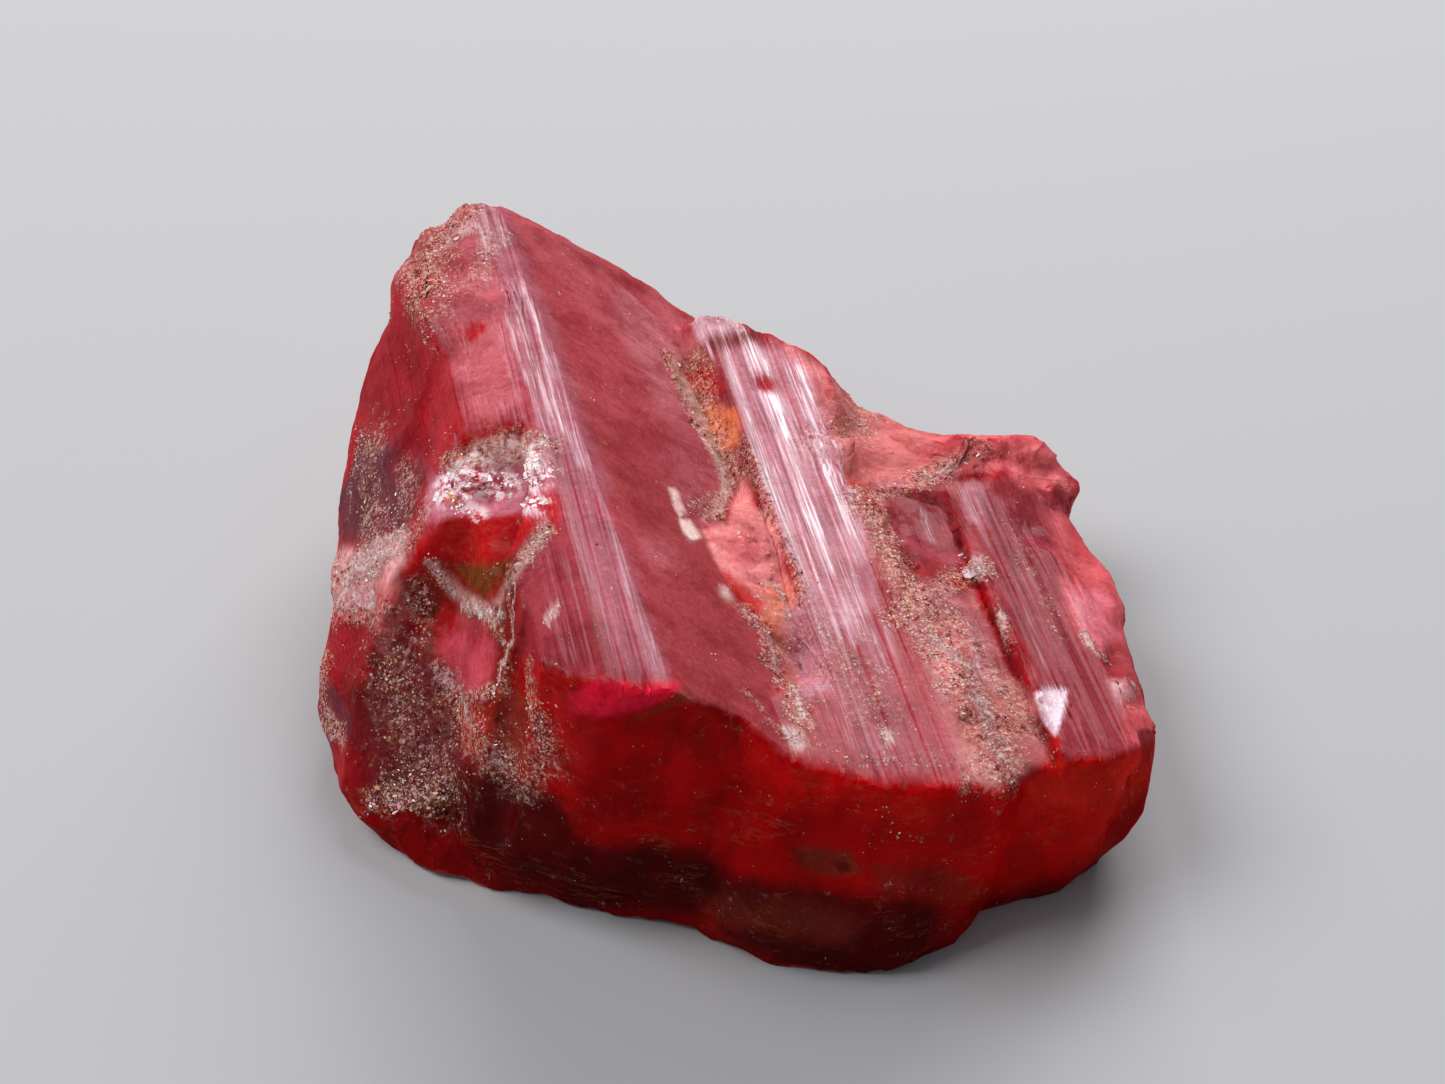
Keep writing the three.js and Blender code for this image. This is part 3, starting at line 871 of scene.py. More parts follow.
# Colours that the crystal is painted with, vertex by vertex.
paints = {
    "body": (0.44, 0.060, 0.074),
    "haze": (0.58, 0.125, 0.150),
    "brownRed": (0.34, 0.045, 0.048),
    "deepRed": (0.46, 0.009, 0.015),
    "breakRed": (0.50, 0.002, 0.003),
    "maroon": (0.26, 0.001, 0.002),
    "umber": (0.12, 0.012, 0.008),
    "brightRed": (0.74, 0.004, 0.004),
    "crimson": (0.90, 0.012, 0.05),
    "salmon": (0.95, 0.28, 0.28),
    "orange": (0.90, 0.22, 0.09),
    "margin": (0.74, 0.11, 0.13),
    "windowPink": (0.66, 0.19, 0.22),
    "lensPink": (0.78, 0.09, 0.13),
    "mauve": (0.42, 0.098, 0.125),
    "plum": (0.15, 0.030, 0.042),
    "crustPink": (0.62, 0.19, 0.17),
    "palePink": (0.82, 0.46, 0.46),
    "white": (0.90, 0.76, 0.78),
    "olive": (0.16, 0.05, 0.010),
    "brown": (0.26, 0.045, 0.028),
    "wallRed": (0.50, 0.010, 0.013),
    "rose": (0.40, 0.055, 0.070),
    "dustyRose": (0.56, 0.16, 0.17),
    "lavender": (0.66, 0.30, 0.36),
    "ledgePink": (0.76, 0.24, 0.33),
    "dust": (1.0, 0.56, 0.50),
    "shoulderPink": (1.0, 0.40, 0.40),
    "patchRed": (0.36, 0.015, 0.022),
    "creaseRed": (0.28, 0.010, 0.015),
    "wine": (0.17, 0.020, 0.030),
    "chipPink": (1.0, 0.74, 0.84),
    "stripMauve": (0.44, 0.10, 0.15),
    "lineCream": (0.60, 0.34, 0.28),
    "facePink": (0.66, 0.24, 0.27),
    "lobePink": (0.92, 0.24, 0.30),
    "flapRose": (0.84, 0.14, 0.16),
    "hollowPink": (0.74, 0.20, 0.20),
    "flapPink": (1.0, 0.22, 0.24),
    "darkRose": (0.31, 0.036, 0.050),
    "browRed": (0.30, 0.012, 0.020),
    "chipCream": (1.0, 0.68, 0.64),
    "bladePink": (0.64, 0.24, 0.30),
    "shade": (0.07, 0.0015, 0.0015),
    "rust": (0.19, 0.024, 0.012),
    "orangeRed": (0.80, 0.020, 0.010),
}

# Soft washes: a colour and the spots that it covers.
washes = {
    "faces": [
        ("haze", ([(560, 250), (640, 330), (660, 350)], 2.2, 0.35), ([(590, 400)], 1.5, 0.2),
            ([(655, 550)], 0.7, 0.5)),
        ("brownRed", ([(630, 460), (700, 570), (720, 660)], 2.0, 0.5), ([(560, 215),
            (640, 270)], 0.7, 0.4)),
        ("haze", ([(470, 260), (495, 400)], 1.1, 0.8), ([(505, 300)], 0.7, 0.6)),
        ("deepRed", ([(415, 320), (405, 430)], 1.5, 1), ([(470, 340), (480, 330)], 0.3, 0.9),
            ([(455, 430)], 0.6, 0.5)),
        ("mauve", ([(490, 205), (525, 280), (555, 380), (590, 480)], 0.9, 0.9, 0.2), ([(610, 540),
            (650, 660)], 0.7, 0.5, 0.2)),
        ("mauve", ([(740, 360), (800, 520)], 1.6, 0.8), ([(830, 600), (890, 740)], 1.6, 0.55)),
        ("mauve", ([(1000, 520), (1040, 600)], 1.3, 0.3)),
        ("salmon", ([(1060, 500), (1075, 560)], 0.5, 0.35)),
    ],
    "breaks": [
        # painted shade: maroon low on the front break's left, where shadow falls
        ("maroon", ([(480, 850), (560, 880), (660, 890)], 2.2, 0.9), ([(420, 840)], 1.5, 0.8),
            ([(620, 800)], 1.5, 0.5)),
        ("brightRed", ([(1080, 800), (1020, 850), (1110, 760)], 2.4, 0.7), ([(780, 790), (860, 790),
            (940, 790)], 1.0, 0.4)),
        ("brightRed", ([(640, 745)], 0.8, 0.4), ([(560, 740)], 0.5, 0.5), ([(1000, 800)], 0.6, 0.4)),
        # painted shade: maroon along the front break's foot, and one small maroon spot by its rim
        ("maroon", ([(700, 890), (780, 935), (880, 945), (960, 935)], 1.3, 1), ([(735, 735)], 0.25, 0.8)),
        ("windowPink", ([(895, 500), (925, 560)], 1.1, 1, 0.2), ([(930, 590), (985, 690),
            (1000, 740)], 1.1, 1, 0.2)),
    ],
    "everywhere": [
        # the broken field on the left
        ("umber", ([(400, 700), (420, 780), (470, 820)], 2.2, 0.85), ([(400, 560), (415, 600)], 0.5, 0.8)),
        ("brown", ([(520, 720), (500, 780)], 1.2, 0.7), ([(430, 600), (445, 700)], 0.5, 0.6),
            ([(475, 590)], 0.45, 0.9)),
        ("crustPink", ([(430, 260), (450, 225)], 1.2, 0.6), ([(385, 640), (395, 600)], 0.6, 0.6)),
        ("plum", ([(345, 420), (342, 500)], 0.7, 1, 0.3), ([(380, 480), (400, 520)], 0.7, 0.7, 0.3),
            ([(345, 700), (350, 740)], 0.4, 0.8)),
        ("wallRed", ([(520, 665), (545, 690)], 0.5, 0.6)),
        ("crustPink", ([(500, 612), (470, 600)], 0.35, 0.8)),
        # the trough and the hollow
        ("crustPink", ([(690, 350), (712, 430), (740, 490)], 0.7, 0.7), ([(860, 400),
            (850, 440)], 1.2, 0.8), ([(880, 470)], 0.6, 0.7)),
        # the right-hand end
        ("crustPink", ([(930, 480), (960, 455)], 0.6, 0.8), ([(880, 520), (905, 590), (940, 640),
            (975, 700), (1000, 750)], 0.8, 0.6)),
        ("margin", ([(1065, 490), (1090, 560), (1105, 620)], 1.1, 1), ([(865, 440)], 0.9, 0.4)),
        ("crimson", ([(1118, 690)], 0.3, 0.8)),
    ],
}

# Patches of colour with an edge that can be seen, laid on in this order:
# the colour, how much of it, how soft its edge is and its outline, in pixels.
regions = {
    "peak": ("darkRose", 0.35, 10, [(396, 275), (408, 235), (440, 212), (474, 206), (488, 255),
        (450, 312), (418, 315)]),
    "left brow": ("browRed", 0.6, 12, [(398, 305), (425, 330), (432, 400), (400, 440), (362, 405),
        (348, 420), (350, 390), (375, 340)]),
    "left cheek": ("browRed", 0.8, 8, [(378, 405), (410, 395), (440, 440), (430, 458), (395, 452),
        (375, 440)]),
    "lower left top": ("darkRose", 0.7, 12, [(515, 560), (545, 536), (580, 545), (602, 610), (640, 682),
        (560, 670), (515, 652)]),
    "blade": ("bladePink", 0.7, 5, [(722, 350), (750, 343), (800, 352), (824, 420), (862, 520),
        (880, 600), (830, 640), (800, 580), (770, 505), (740, 410)]),
    "upper right face": ("facePink", 0.4, 18, [(610, 262), (660, 295), (690, 345), (664, 360), (692, 410),
        (660, 410), (625, 330)]),
    "strip ground": ("stripMauve", 0.5, 3, [(478, 203), (503, 202), (526, 270), (546, 330), (566, 390),
        (591, 450), (641, 600), (672, 680), (630, 680), (592, 590), (552, 480), (531, 410), (514, 350),
        (498, 290), (488, 250)]),
    "face chip": ("chipCream", 1, 2, [(669, 488), (676, 489), (686, 512), (680, 517), (673, 505)]),
    "lower face chip": ("chipCream", 1, 2, [(680, 519), (690, 520), (701, 537), (692, 541), (683, 533)]),
    "face dot": ("chipCream", 0.7, 4, [(720, 586), (728, 588), (731, 600), (723, 597)]),
    "soft spot": ("haze", 0.7, 10, [(640, 540), (665, 540), (682, 565), (660, 572), (645, 560)]),
    "dash": ("chipCream", 0.7, 2.5, [(544, 621), (556, 604), (561, 604), (549, 623)]),
    "low chip": ("chipCream", 0.9, 3, [(880, 734), (890, 729), (896, 738), (885, 743)]),
    "rim chip": ("chipCream", 0.7, 4, [(785, 728), (798, 728), (806, 746), (792, 748)]),
    "haze by the trough": ("haze", 0.7, 10, [(645, 290), (665, 300), (702, 348), (690, 356), (664, 330)]),
    "face below the trough": ("mauve", 0.5, 14, [(680, 400), (725, 460), (730, 500), (700, 530),
        (660, 470)]),
    "flank": ("plum", 0.85, 10, [(358, 400), (372, 450), (385, 470), (372, 530), (335, 535), (335, 490),
        (345, 440)]),
    "flank foot": ("plum", 0.7, 10, [(372, 470), (420, 455), (430, 470), (412, 515), (385, 545),
        (345, 548), (335, 530)]),
    "shoulder": ("shoulderPink", 0.8, 7, [(330, 556), (350, 548), (380, 548), (410, 530), (402, 562),
        (385, 590), (350, 606), (320, 600)]),
    "shoulder foot": ("margin", 0.7, 8, [(322, 598), (388, 592), (398, 604), (365, 618), (325, 626)]),
    "red patch": ("patchRed", 1, 5, [(322, 624), (345, 618), (374, 618), (376, 648), (368, 680),
        (345, 690), (330, 650)]),
    "below the patch": ("plum", 0.7, 8, [(318, 665), (335, 690), (342, 740), (328, 750), (316, 720)]),
    "left foot": ("patchRed", 0.7, 10, [(320, 742), (350, 735), (370, 790), (360, 815), (335, 790)]),
    "field": ("wine", 0.5, 14, [(400, 590), (425, 560), (425, 640), (450, 700), (470, 770), (430, 800),
        (365, 800), (350, 740), (385, 650)]),
    "column": ("rust", 0.6, 8, [(425, 562), (545, 525), (520, 575), (512, 660), (500, 720), (455, 705),
        (430, 660)]),
    "ledge back": ("dust", 0.9, 6, [(450, 470), (478, 443), (505, 437), (532, 442), (545, 465),
        (500, 472)]),
    "ledge": ("ledgePink", 0.9, 6, [(430, 480), (452, 466), (500, 468), (546, 462), (553, 482),
        (545, 512), (500, 515), (452, 518), (426, 522)]),
    "ledge end": ("wallRed", 0.8, 5, [(525, 496), (550, 492), (563, 502), (556, 532), (545, 518)]),
    "wall": ("wallRed", 1, 3, [(430, 534), (448, 520), (470, 517), (500, 519), (541, 517), (520, 545),
        (502, 562), (480, 570), (440, 560), (410, 546)]),
    "wall foot": ("olive", 0.85, 6, [(452, 562), (478, 566), (508, 560), (496, 584), (484, 596),
        (466, 580)]),
    "lens side": ("deepRed", 0.8, 5, [(446, 600), (462, 625), (455, 650), (434, 656), (430, 625)]),
    "lens top": ("margin", 0.8, 6, [(458, 604), (486, 606), (494, 630), (470, 634), (458, 622)]),
    "lens": ("lensPink", 0.8, 8, [(438, 642), (460, 628), (486, 634), (500, 652), (494, 676), (472, 698),
        (454, 690), (442, 668)]),
    "left line": ("chipCream", 0.5, 4, [(428, 565), (435, 563), (462, 590), (486, 603), (500, 622),
        (494, 626), (476, 610), (452, 596)]),
    "right line": ("chipCream", 0.35, 4, [(547, 522), (552, 528), (528, 560), (514, 584), (500, 605),
        (494, 603), (506, 580), (520, 554)]),
    "below the lens": ("wine", 0.6, 10, [(425, 670), (450, 700), (470, 760), (440, 780), (410, 730)]),
    "lip": ("crimson", 1, 4, [(568, 694), (600, 681), (640, 683), (682, 682), (668, 699), (640, 711),
        (600, 716), (572, 712)]),
    # painted shadow: a dark olive line under the lip
    "under the lip": ("olive", 0.5, 3, [(628, 718), (668, 703), (690, 691), (702, 696), (668, 708),
        (632, 723)]),
    "red by the lip": ("wallRed", 0.5, 10, [(548, 700), (570, 690), (572, 716), (600, 722), (600, 760),
        (560, 770)]),
    "far facet": ("lavender", 1, 3, [(686, 306), (715, 311), (742, 322), (736, 334), (715, 336),
        (702, 346), (694, 335)]),
    "brow of the blade": ("rust", 0.7, 4, [(706, 342), (716, 333), (745, 329), (770, 328), (752, 344),
        (714, 354)]),
    "trough line": ("lineCream", 0.85, 2, [(668, 356), (675, 358), (692, 388), (711, 426), (727, 464),
        (731, 490), (722, 512), (702, 522), (704, 515), (716, 502), (722, 485), (715, 462), (698, 428),
        (682, 394)]),
    "trough": ("rust", 0.5, 8, [(672, 348), (705, 348), (724, 372), (742, 440), (752, 485), (735, 490),
        (722, 450), (700, 402), (682, 375)]),
    "trough red": ("wallRed", 0.8, 6, [(682, 372), (712, 366), (728, 392), (715, 402), (692, 392)]),
    "orange blob": ("orange", 0.9, 5, [(704, 405), (738, 408), (742, 445), (722, 450), (710, 432)]),
    "fresh break": ("salmon", 1, 4, [(742, 478), (756, 508), (777, 524), (781, 560), (796, 598),
        (781, 628), (765, 612), (745, 600), (728, 580), (714, 555), (700, 530), (726, 522), (734, 500)]),
    "fresh break foot": ("orange", 0.6, 8, [(760, 585), (795, 585), (795, 615), (775, 640), (762, 615)]),
    "fresh break edge": ("brightRed", 0.8, 4, [(722, 568), (745, 585), (765, 604), (760, 616), (738, 598),
        (724, 582)]),
    "fresh break bruise": ("lensPink", 0.5, 8, [(725, 535), (752, 530), (765, 550), (745, 570),
        (725, 555)]),
    "below the fresh break": ("crustPink", 0.8, 6, [(770, 625), (788, 622), (800, 660), (806, 712),
        (796, 728), (790, 690), (775, 655)]),
    "beside the blade's foot": ("bladePink", 0.85, 5, [(782, 612), (800, 598), (818, 640), (832, 690),
        (806, 700), (790, 660)]),
    "notch": ("deepRed", 0.9, 3, [(755, 372), (764, 376), (778, 382), (768, 394), (756, 390)]),
    "back of the blade": ("salmon", 0.5, 10, [(775, 340), (805, 355), (830, 372), (822, 392), (800, 368)]),
    "hollow": ("hollowPink", 0.9, 8, [(825, 380), (850, 372), (885, 395), (925, 425), (955, 440),
        (930, 452), (905, 482), (882, 494), (860, 480), (838, 440)]),
    "hollow side": ("crustPink", 0.4, 10, [(836, 392), (862, 392), (868, 430), (850, 450), (838, 425)]),
    "flap": ("flapRose", 0.9, 6, [(935, 438), (1000, 430), (1045, 440), (1068, 458), (1064, 490),
        (1030, 478), (985, 470), (958, 474), (930, 486), (905, 490), (912, 465)]),
    "flap middle": ("flapRose", 0.9, 8, [(965, 440), (1000, 434), (1005, 460), (985, 472), (958, 470)]),
    "flap crust": ("crustPink", 0.8, 6, [(908, 480), (928, 460), (952, 455), (962, 468), (935, 480),
        (912, 490)]),
    "flap end": ("flapPink", 0.9, 8, [(1005, 440), (1045, 442), (1070, 460), (1072, 505), (1045, 500),
        (1010, 474)]),
    # painted shadow: the dark crease at the foot of the flap
    "crease": ("creaseRed", 0.8, 3, [(882, 500), (915, 489), (948, 475), (985, 472), (985, 479),
        (950, 485), (915, 497), (890, 506)]),
    "window": ("rose", 0.95, 5, [(886, 506), (945, 488), (958, 520), (972, 560), (945, 580), (902, 582),
        (890, 545)]),
    "window red": ("patchRed", 0.6, 8, [(904, 562), (938, 556), (946, 580), (905, 586)]),
    "beside the channel": ("lavender", 0.6, 6, [(962, 482), (988, 482), (988, 518), (970, 526),
        (962, 505)]),
    "panel": ("darkRose", 0.8, 14, [(985, 500), (1035, 500), (1085, 610), (1120, 700), (1130, 740),
        (1070, 755), (1035, 690), (1005, 600), (985, 550)]),
    "under the channel": ("dustyRose", 0.9, 6, [(945, 600), (972, 590), (990, 625), (1012, 672),
        (1036, 700), (1050, 760), (1000, 785), (960, 765), (930, 680), (905, 610)]),
    # the channel: the crystal's deep red seen on the riser, darkened by a painted shade
    "channel": ("creaseRed", 0.95, 3, [(946, 492), (954, 497), (966, 524), (964, 548), (955, 546),
        (958, 526)]),
    "red spot": ("creaseRed", 0.9, 4, [(966, 572), (998, 566), (1006, 578), (988, 594), (974, 588)]),
    # the channel's foot: the crystal's deep red on the riser, darkened by a painted shade
    "channel foot": ("patchRed", 1, 3, [(984, 596), (995, 599), (1012, 630), (1032, 655), (1032, 674),
        (1016, 686), (1005, 662), (990, 622)]),
    "salmon lump": ("salmon", 0.8, 8, [(938, 630), (965, 622), (975, 655), (958, 682), (938, 672)]),
    "crust foot": ("crustPink", 0.7, 10, [(965, 690), (1010, 680), (1030, 720), (1030, 770), (985, 785),
        (962, 760)]),
    "pale chip": ("chipPink", 1, 2, [(1033, 693), (1049, 689), (1069, 690), (1064, 712), (1055, 737),
        (1043, 723)]),
    "red by the chip": ("creaseRed", 0.9, 3, [(1036, 718), (1046, 728), (1060, 758), (1055, 768),
        (1045, 752)]),
    "margin": ("margin", 0.9, 8, [(1048, 490), (1072, 500), (1090, 530), (1118, 575), (1120, 640),
        (1095, 655), (1070, 625), (1060, 570)]),
    "margin lobe": ("lobePink", 0.7, 6, [(1072, 596), (1098, 586), (1118, 606), (1118, 634), (1096, 650),
        (1080, 632)]),
    "margin fold": ("patchRed", 0.5, 6, [(1070, 508), (1086, 518), (1100, 552), (1088, 566), (1072, 560),
        (1066, 530)]),
    "corner": ("margin", 0.8, 6, [(1124, 704), (1150, 702), (1158, 724), (1150, 744), (1128, 750)]),
    "margin red": ("patchRed", 0.7, 4, [(1046, 478), (1060, 484), (1064, 505), (1052, 500)]),
    "margin foot": ("patchRed", 0.5, 10, [(1095, 655), (1120, 650), (1128, 690), (1105, 690)]),
    "margin lump": ("palePink", 0.6, 4, [(1108, 682), (1128, 680), (1136, 696), (1118, 704)]),
    # the front break
    "rim band": ("brightRed", 0.4, 6, [(690, 702), (722, 722), (780, 758), (900, 784), (960, 778),
        (956, 796), (900, 804), (820, 794), (760, 782), (715, 758)]),
    "right top": ("orangeRed", 0.7, 6, [(1025, 785), (1060, 762), (1105, 768), (1152, 745), (1145, 790),
        (1122, 818), (1060, 806), (1030, 798)]),
    # painted shade: the lower left of the front break and its foot are painted dark where shadow falls near the
    # floor
    "dark left": ("shade", 0.9, 16, [(425, 800), (470, 772), (525, 778), (560, 800), (590, 850),
        (560, 885), (480, 872), (425, 840)]),
    "left foot of the break": ("maroon", 0.6, 12, [(370, 810), (430, 815), (500, 860), (560, 895),
        (420, 870)]),
    "low left": ("shade", 0.95, 14, [(560, 848), (640, 838), (710, 856), (730, 890), (690, 912),
        (560, 905)]),
    "foot": ("shade", 0.9, 12, [(700, 885), (780, 880), (850, 890), (940, 905), (930, 960), (840, 985),
        (740, 945)]),
    "foot rust": ("rust", 0.5, 14, [(690, 888), (750, 896), (830, 905), (860, 925), (850, 945),
        (780, 940), (720, 925)]),
    # painted shade at the right end of the foot
    "right foot": ("maroon", 0.8, 10, [(940, 905), (1000, 890), (1000, 930), (965, 950), (930, 945)]),
    "ring": ("rust", 0.8, 5, [(792, 850), (820, 846), (850, 853), (862, 872), (835, 878), (800, 868)]),
    "ring heart": ("shade", 0.8, 3, [(836, 862), (850, 863), (850, 871), (838, 870)]),
    "swirl": ("rust", 0.5, 8, [(870, 866), (950, 868), (985, 888), (950, 902), (885, 893)]),
}
painting = {
    "leftLean": (0.65, 0.85),  # striated faces that lean this far to the left are deep red
    "onBreak": (0.5, 1),
    "footShade": 0.6,
    "foot": (3.2, 0.2),  # heights between which the breaks are painted darker, a painted shade towards the floor
    # the breaks that face away from the camera, lit by the window lamp, get a painted shade of clouded deep red
    "away": (0.1, 0.5),
    "backShade": 0.35,
    "backShadeClouds": 0.55,
    "cloudSize": 2.4,
    "ragged": 0.7,  # of an edge's softness
    "streakEdge": (2.5, 1.5),
    "ribEdge": (4, 3),
    "glintTone": 0.5,
    "highlightChips": 0.65,
    "redChips": 0.22,
}
tint = np.empty((len(points), 3))
tint[:] = paints["body"]


def dab(colour, amount):
    tint[:] = tint + (np.array(paints[colour]) - tint) * np.clip(amount, 0, 1)[:, None]


onBreak = smooth(*painting["onBreak"], broken)
dab("breakRed", onBreak)
dab("deepRed", smooth(*painting["leftLean"], -vertexNormals(cutPoints, tris)[:, 0]) * striated)
for group, held in (("faces", 1 - onBreak), ("breaks", onBreak), ("everywhere", 1)):
    for k, (colour, *spots) in enumerate(washes[group]):
        dab(colour, held * spotted(cutPoints, spots, seeds["washes"] * len(group) + k))
# painted shade: the breaks are painted darker towards the foot, where shadow falls near the floor
dab("shade", painting["footShade"] * onBreak * smooth(*painting["foot"], points[:, 2]))
away = onBreak * smooth(*painting["away"], normals @ toward)  # painted shade: the lamp-lit breaks at the back are painted a clouded deeper red
clouded = smooth(-0.35, 0.45, fractal(points, painting["cloudSize"], seeds["backShadeClouds"]))
dab("deepRed", away * (painting["backShade"] + painting["backShadeClouds"] * clouded))
for k, (colour, amount, soft, outline) in enumerate(regions.values()):
    dab(colour, amount * within(points, outline, soft, painting["ragged"] * soft, seeds["regions"] + k))
print("colours painted")

# The sheen of the striae, a painted highlight of pale lines with some coat gloss, strongest on the blade and
# the far facet.
sheens = {
    "strip top": ([(490, 205), (500, 240)], 0.5, 0.3),
    "strip": ([(528, 290), (548, 345), (575, 420), (590, 460)], 0.55, 0.42),
    "strip left": ([(505, 285), (535, 380), (560, 440)], 0.4, 0.55),
    "strip foot": ([(600, 490), (630, 580), (655, 660)], 0.5, 0.06),
    "far facet": ([(692, 314), (735, 325)], 0.5, 0.9),
    "blade edge": ([(724, 350), (745, 410), (770, 470), (800, 545), (815, 590)], 0.33, 0.9),
    "blade middle": ([(752, 345), (775, 410), (800, 480), (832, 565)], 0.45, 0.8),
    "blade right": ([(795, 370), (820, 440), (858, 550)], 0.45, 0.85),
    "blade": ([(760, 360), (810, 500), (860, 640)], 1.3, 0.4),
    "blade foot": ([(820, 640), (860, 730)], 1.2, 0.15),
    "panel": ([(1000, 510), (1030, 590), (1050, 650)], 0.6, 0.08),
    "panel top": ([(968, 495), (985, 560)], 0.4, 0.18),
    "left top": ([(490, 340), (520, 440)], 0.8, 0.15),
    "lower left top": ([(560, 560), (580, 650)], 0.8, 0.1),
}
sheen = spotted(cutPoints, sheens.values(), seeds["sheens"]) * (1 - 0.8 * ruggedness)

# Single bright streaks along the striae, painted highlights with a little coat gloss: how bright, and their
# outlines.
streaks = {
    "strip top": (0.45, [(477, 221), (483, 230), (492, 254), (487, 254), (480, 238)]),
    "strip upper left": (0.3, [(497, 278), (503, 285), (512, 318), (518, 352), (512, 345), (504, 312)]),
    "strip upper": (0.35, [(518, 270), (526, 285), (545, 332), (560, 380), (553, 378), (538, 332),
        (524, 292)]),
    "strip middle": (0.3, [(540, 350), (550, 372), (570, 440), (560, 436), (550, 400)]),
    "strip left": (0.2, [(519, 350), (526, 362), (548, 430), (558, 480), (550, 470), (536, 420)]),
    "strip lower": (0.15, [(592, 440), (606, 480), (626, 540), (645, 600), (672, 680), (658, 682),
        (632, 620), (612, 560), (598, 490)]),
    "strip foot": (0.1, [(560, 450), (590, 540), (630, 670), (618, 668), (580, 560), (556, 470)]),
    "far facet": (0.8, [(690, 308), (705, 310), (712, 332), (704, 340), (695, 330)]),
    "far facet right": (0.6, [(715, 313), (738, 322), (732, 331), (720, 331)]),
    "blade edge top": (0.8, [(722, 351), (727, 350), (737, 378), (748, 405), (742, 408), (731, 385)]),
    "blade edge": (0.75, [(742, 402), (750, 412), (766, 455), (782, 497), (798, 548), (810, 582),
        (803, 584), (788, 548), (770, 500), (755, 456)]),
    "blade top": (0.7, [(743, 344), (757, 344), (768, 358), (772, 378), (762, 372), (757, 362),
        (752, 378), (746, 362)]),
    "blade middle": (0.9, [(764, 394), (778, 392), (791, 435), (806, 485), (819, 522), (832, 560),
        (836, 576), (826, 574), (812, 538), (798, 502), (782, 455)]),
    "blade right top": (0.7, [(796, 365), (803, 372), (812, 400), (824, 450), (818, 452), (804, 412)]),
    "blade right": (0.7, [(817, 455), (828, 458), (846, 502), (858, 540), (864, 562), (856, 562),
        (840, 522)]),
    "blade far right": (0.4, [(838, 585), (848, 600), (862, 640), (856, 642), (842, 612)]),
    "blade low": (0.35, [(800, 590), (812, 608), (830, 660), (822, 662), (806, 620)]),
    "under the channel": (0.4, [(966, 624), (974, 640), (984, 676), (978, 676), (968, 648)]),
    "window": (0.35, [(918, 505), (926, 510), (938, 545), (930, 542)]),
    "panel": (0.1, [(1008, 555), (1016, 570), (1036, 640), (1028, 636)]),
    "panel right": (0.2, [(1020, 600), (1030, 612), (1050, 670), (1042, 668)]),
    "margin": (0.3, [(1058, 560), (1066, 572), (1088, 625), (1080, 622)]),
}
streak = np.zeros(len(points))
for k, (amount, outline) in enumerate(streaks.values()):
    cover = within(points, outline, *painting["streakEdge"], seeds["streaks"] + k)
    streak = np.maximum(streak, amount * cover)

# Small glassy chips that catch the light: smoother and glossier, with painted highlights and a painted glow on
# them.
glints = {
    "ledge": ([(448, 488), (490, 480), (540, 474)], 0.7, 0.9),
    "ledge back": ([(468, 462), (505, 448), (535, 446)], 0.5, 0.55),
    "ledge front": ([(470, 508), (540, 504)], 0.4, 0.7),
    "margin": ([(1118, 690)], 0.35, 0.35),
    "blade crust": ([(975, 562), (985, 575)], 0.3, 0.25),
    "peak": ([(455, 245), (470, 235)], 0.35, 0.4),
}
glint = spotted(cutPoints, glints.values(), seeds["glints"])
# painted highlights: the palest chips are painted white, the darkest bright red
dab("white", painting["glintTone"] * glint * (chipTone > painting["highlightChips"]))
dab("brightRed", painting["glintTone"] * glint * (chipTone < painting["redChips"]))
dab("orange", spotted(cutPoints, [([(447, 500)], 0.16)], seeds["amber"]))  # one painted spark of orange light on the ledge

# Places off the striated faces that have fine lines too.
ribs = {
    "window": [(888, 506), (945, 490), (958, 520), (965, 545), (905, 555)],
    "under the channel": [(965, 620), (990, 625), (1012, 672), (1000, 690), (975, 680)],
    "far facet": [(686, 306), (742, 322), (736, 334), (702, 346)],
}
ribbed = [within(points, outline, *painting["ribEdge"], seeds["ribs"]) for outline in ribs.values()]
ribbed = np.max(ribbed, axis=0)


def meshPiece(name, points, tris, attributes):
    mesh = bpy.data.meshes.new(name)
    mesh.from_pydata((points * mm).tolist(), [], tris.tolist())
    for key, values in attributes.items():
        if values.ndim == 1:
            mesh.attributes.new(key, "FLOAT", "POINT").data.foreach_set("value", values.astype(np.float32))
        else:
            colours = np.hstack([values, np.ones((len(values), 1))]).astype(np.float32)
            mesh.attributes.new(key, "FLOAT_COLOR", "POINT").data.foreach_set("color", colours.ravel())
    mesh.shade_smooth()
    piece = bpy.data.objects.new(name, mesh)
    bpy.context.scene.collection.objects.link(piece)
    return piece


masks = {
    "striated": np.maximum(smooth(0.3, 0.6, striated) * (1 - ruggedness), ribbed),
    "broken": onBreak,
    "crust": crust,
    "pale": pale,
    "sheen": sheen,
    "streak": streak,
    "glint": glint,
}
crystal = meshPiece("crystal", points, tris, {"tint": tint, **masks})
crystal.data.set_sharp_from_angle(angle=math.radians(shape["sharpAngle"]))
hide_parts("rhodonite_crystal")
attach(crystal, "root")
print("crystal made")

# Sand-fine grains, each a small angular bead sunk into the crust; lengths in mm.
grains = {
    "seed": 21,
    "count": 4800,
    "size": 0.022,
    "spread": 0.4,
    "largest": 0.075,
    "uneven": (0.55, 1.25),  # how far a bead's corners reach
    "lift": 0.25,  # of its size
    "patch": 0.8,
    "patchy": 1.1,
    "cover": (0.3, 1.1),
    "gathered": 1.5,
    "stray": 0.0012,  # a few lie on the clean faces, hardly any on the breaks
    "fewerOnBreaks": 0.85,
    "tones": (0.75, 1.2),
    "colours": {
        "cream": ((0.95, 0.70, 0.60), 0.36),
        "gold": ((0.84, 0.52, 0.30), 0.12),
        "brown": ((0.40, 0.08, 0.05), 0.05),
        "pink": ((0.90, 0.42, 0.44), 0.27),
        "white": ((0.97, 0.86, 0.84), 0.20),
    },
}


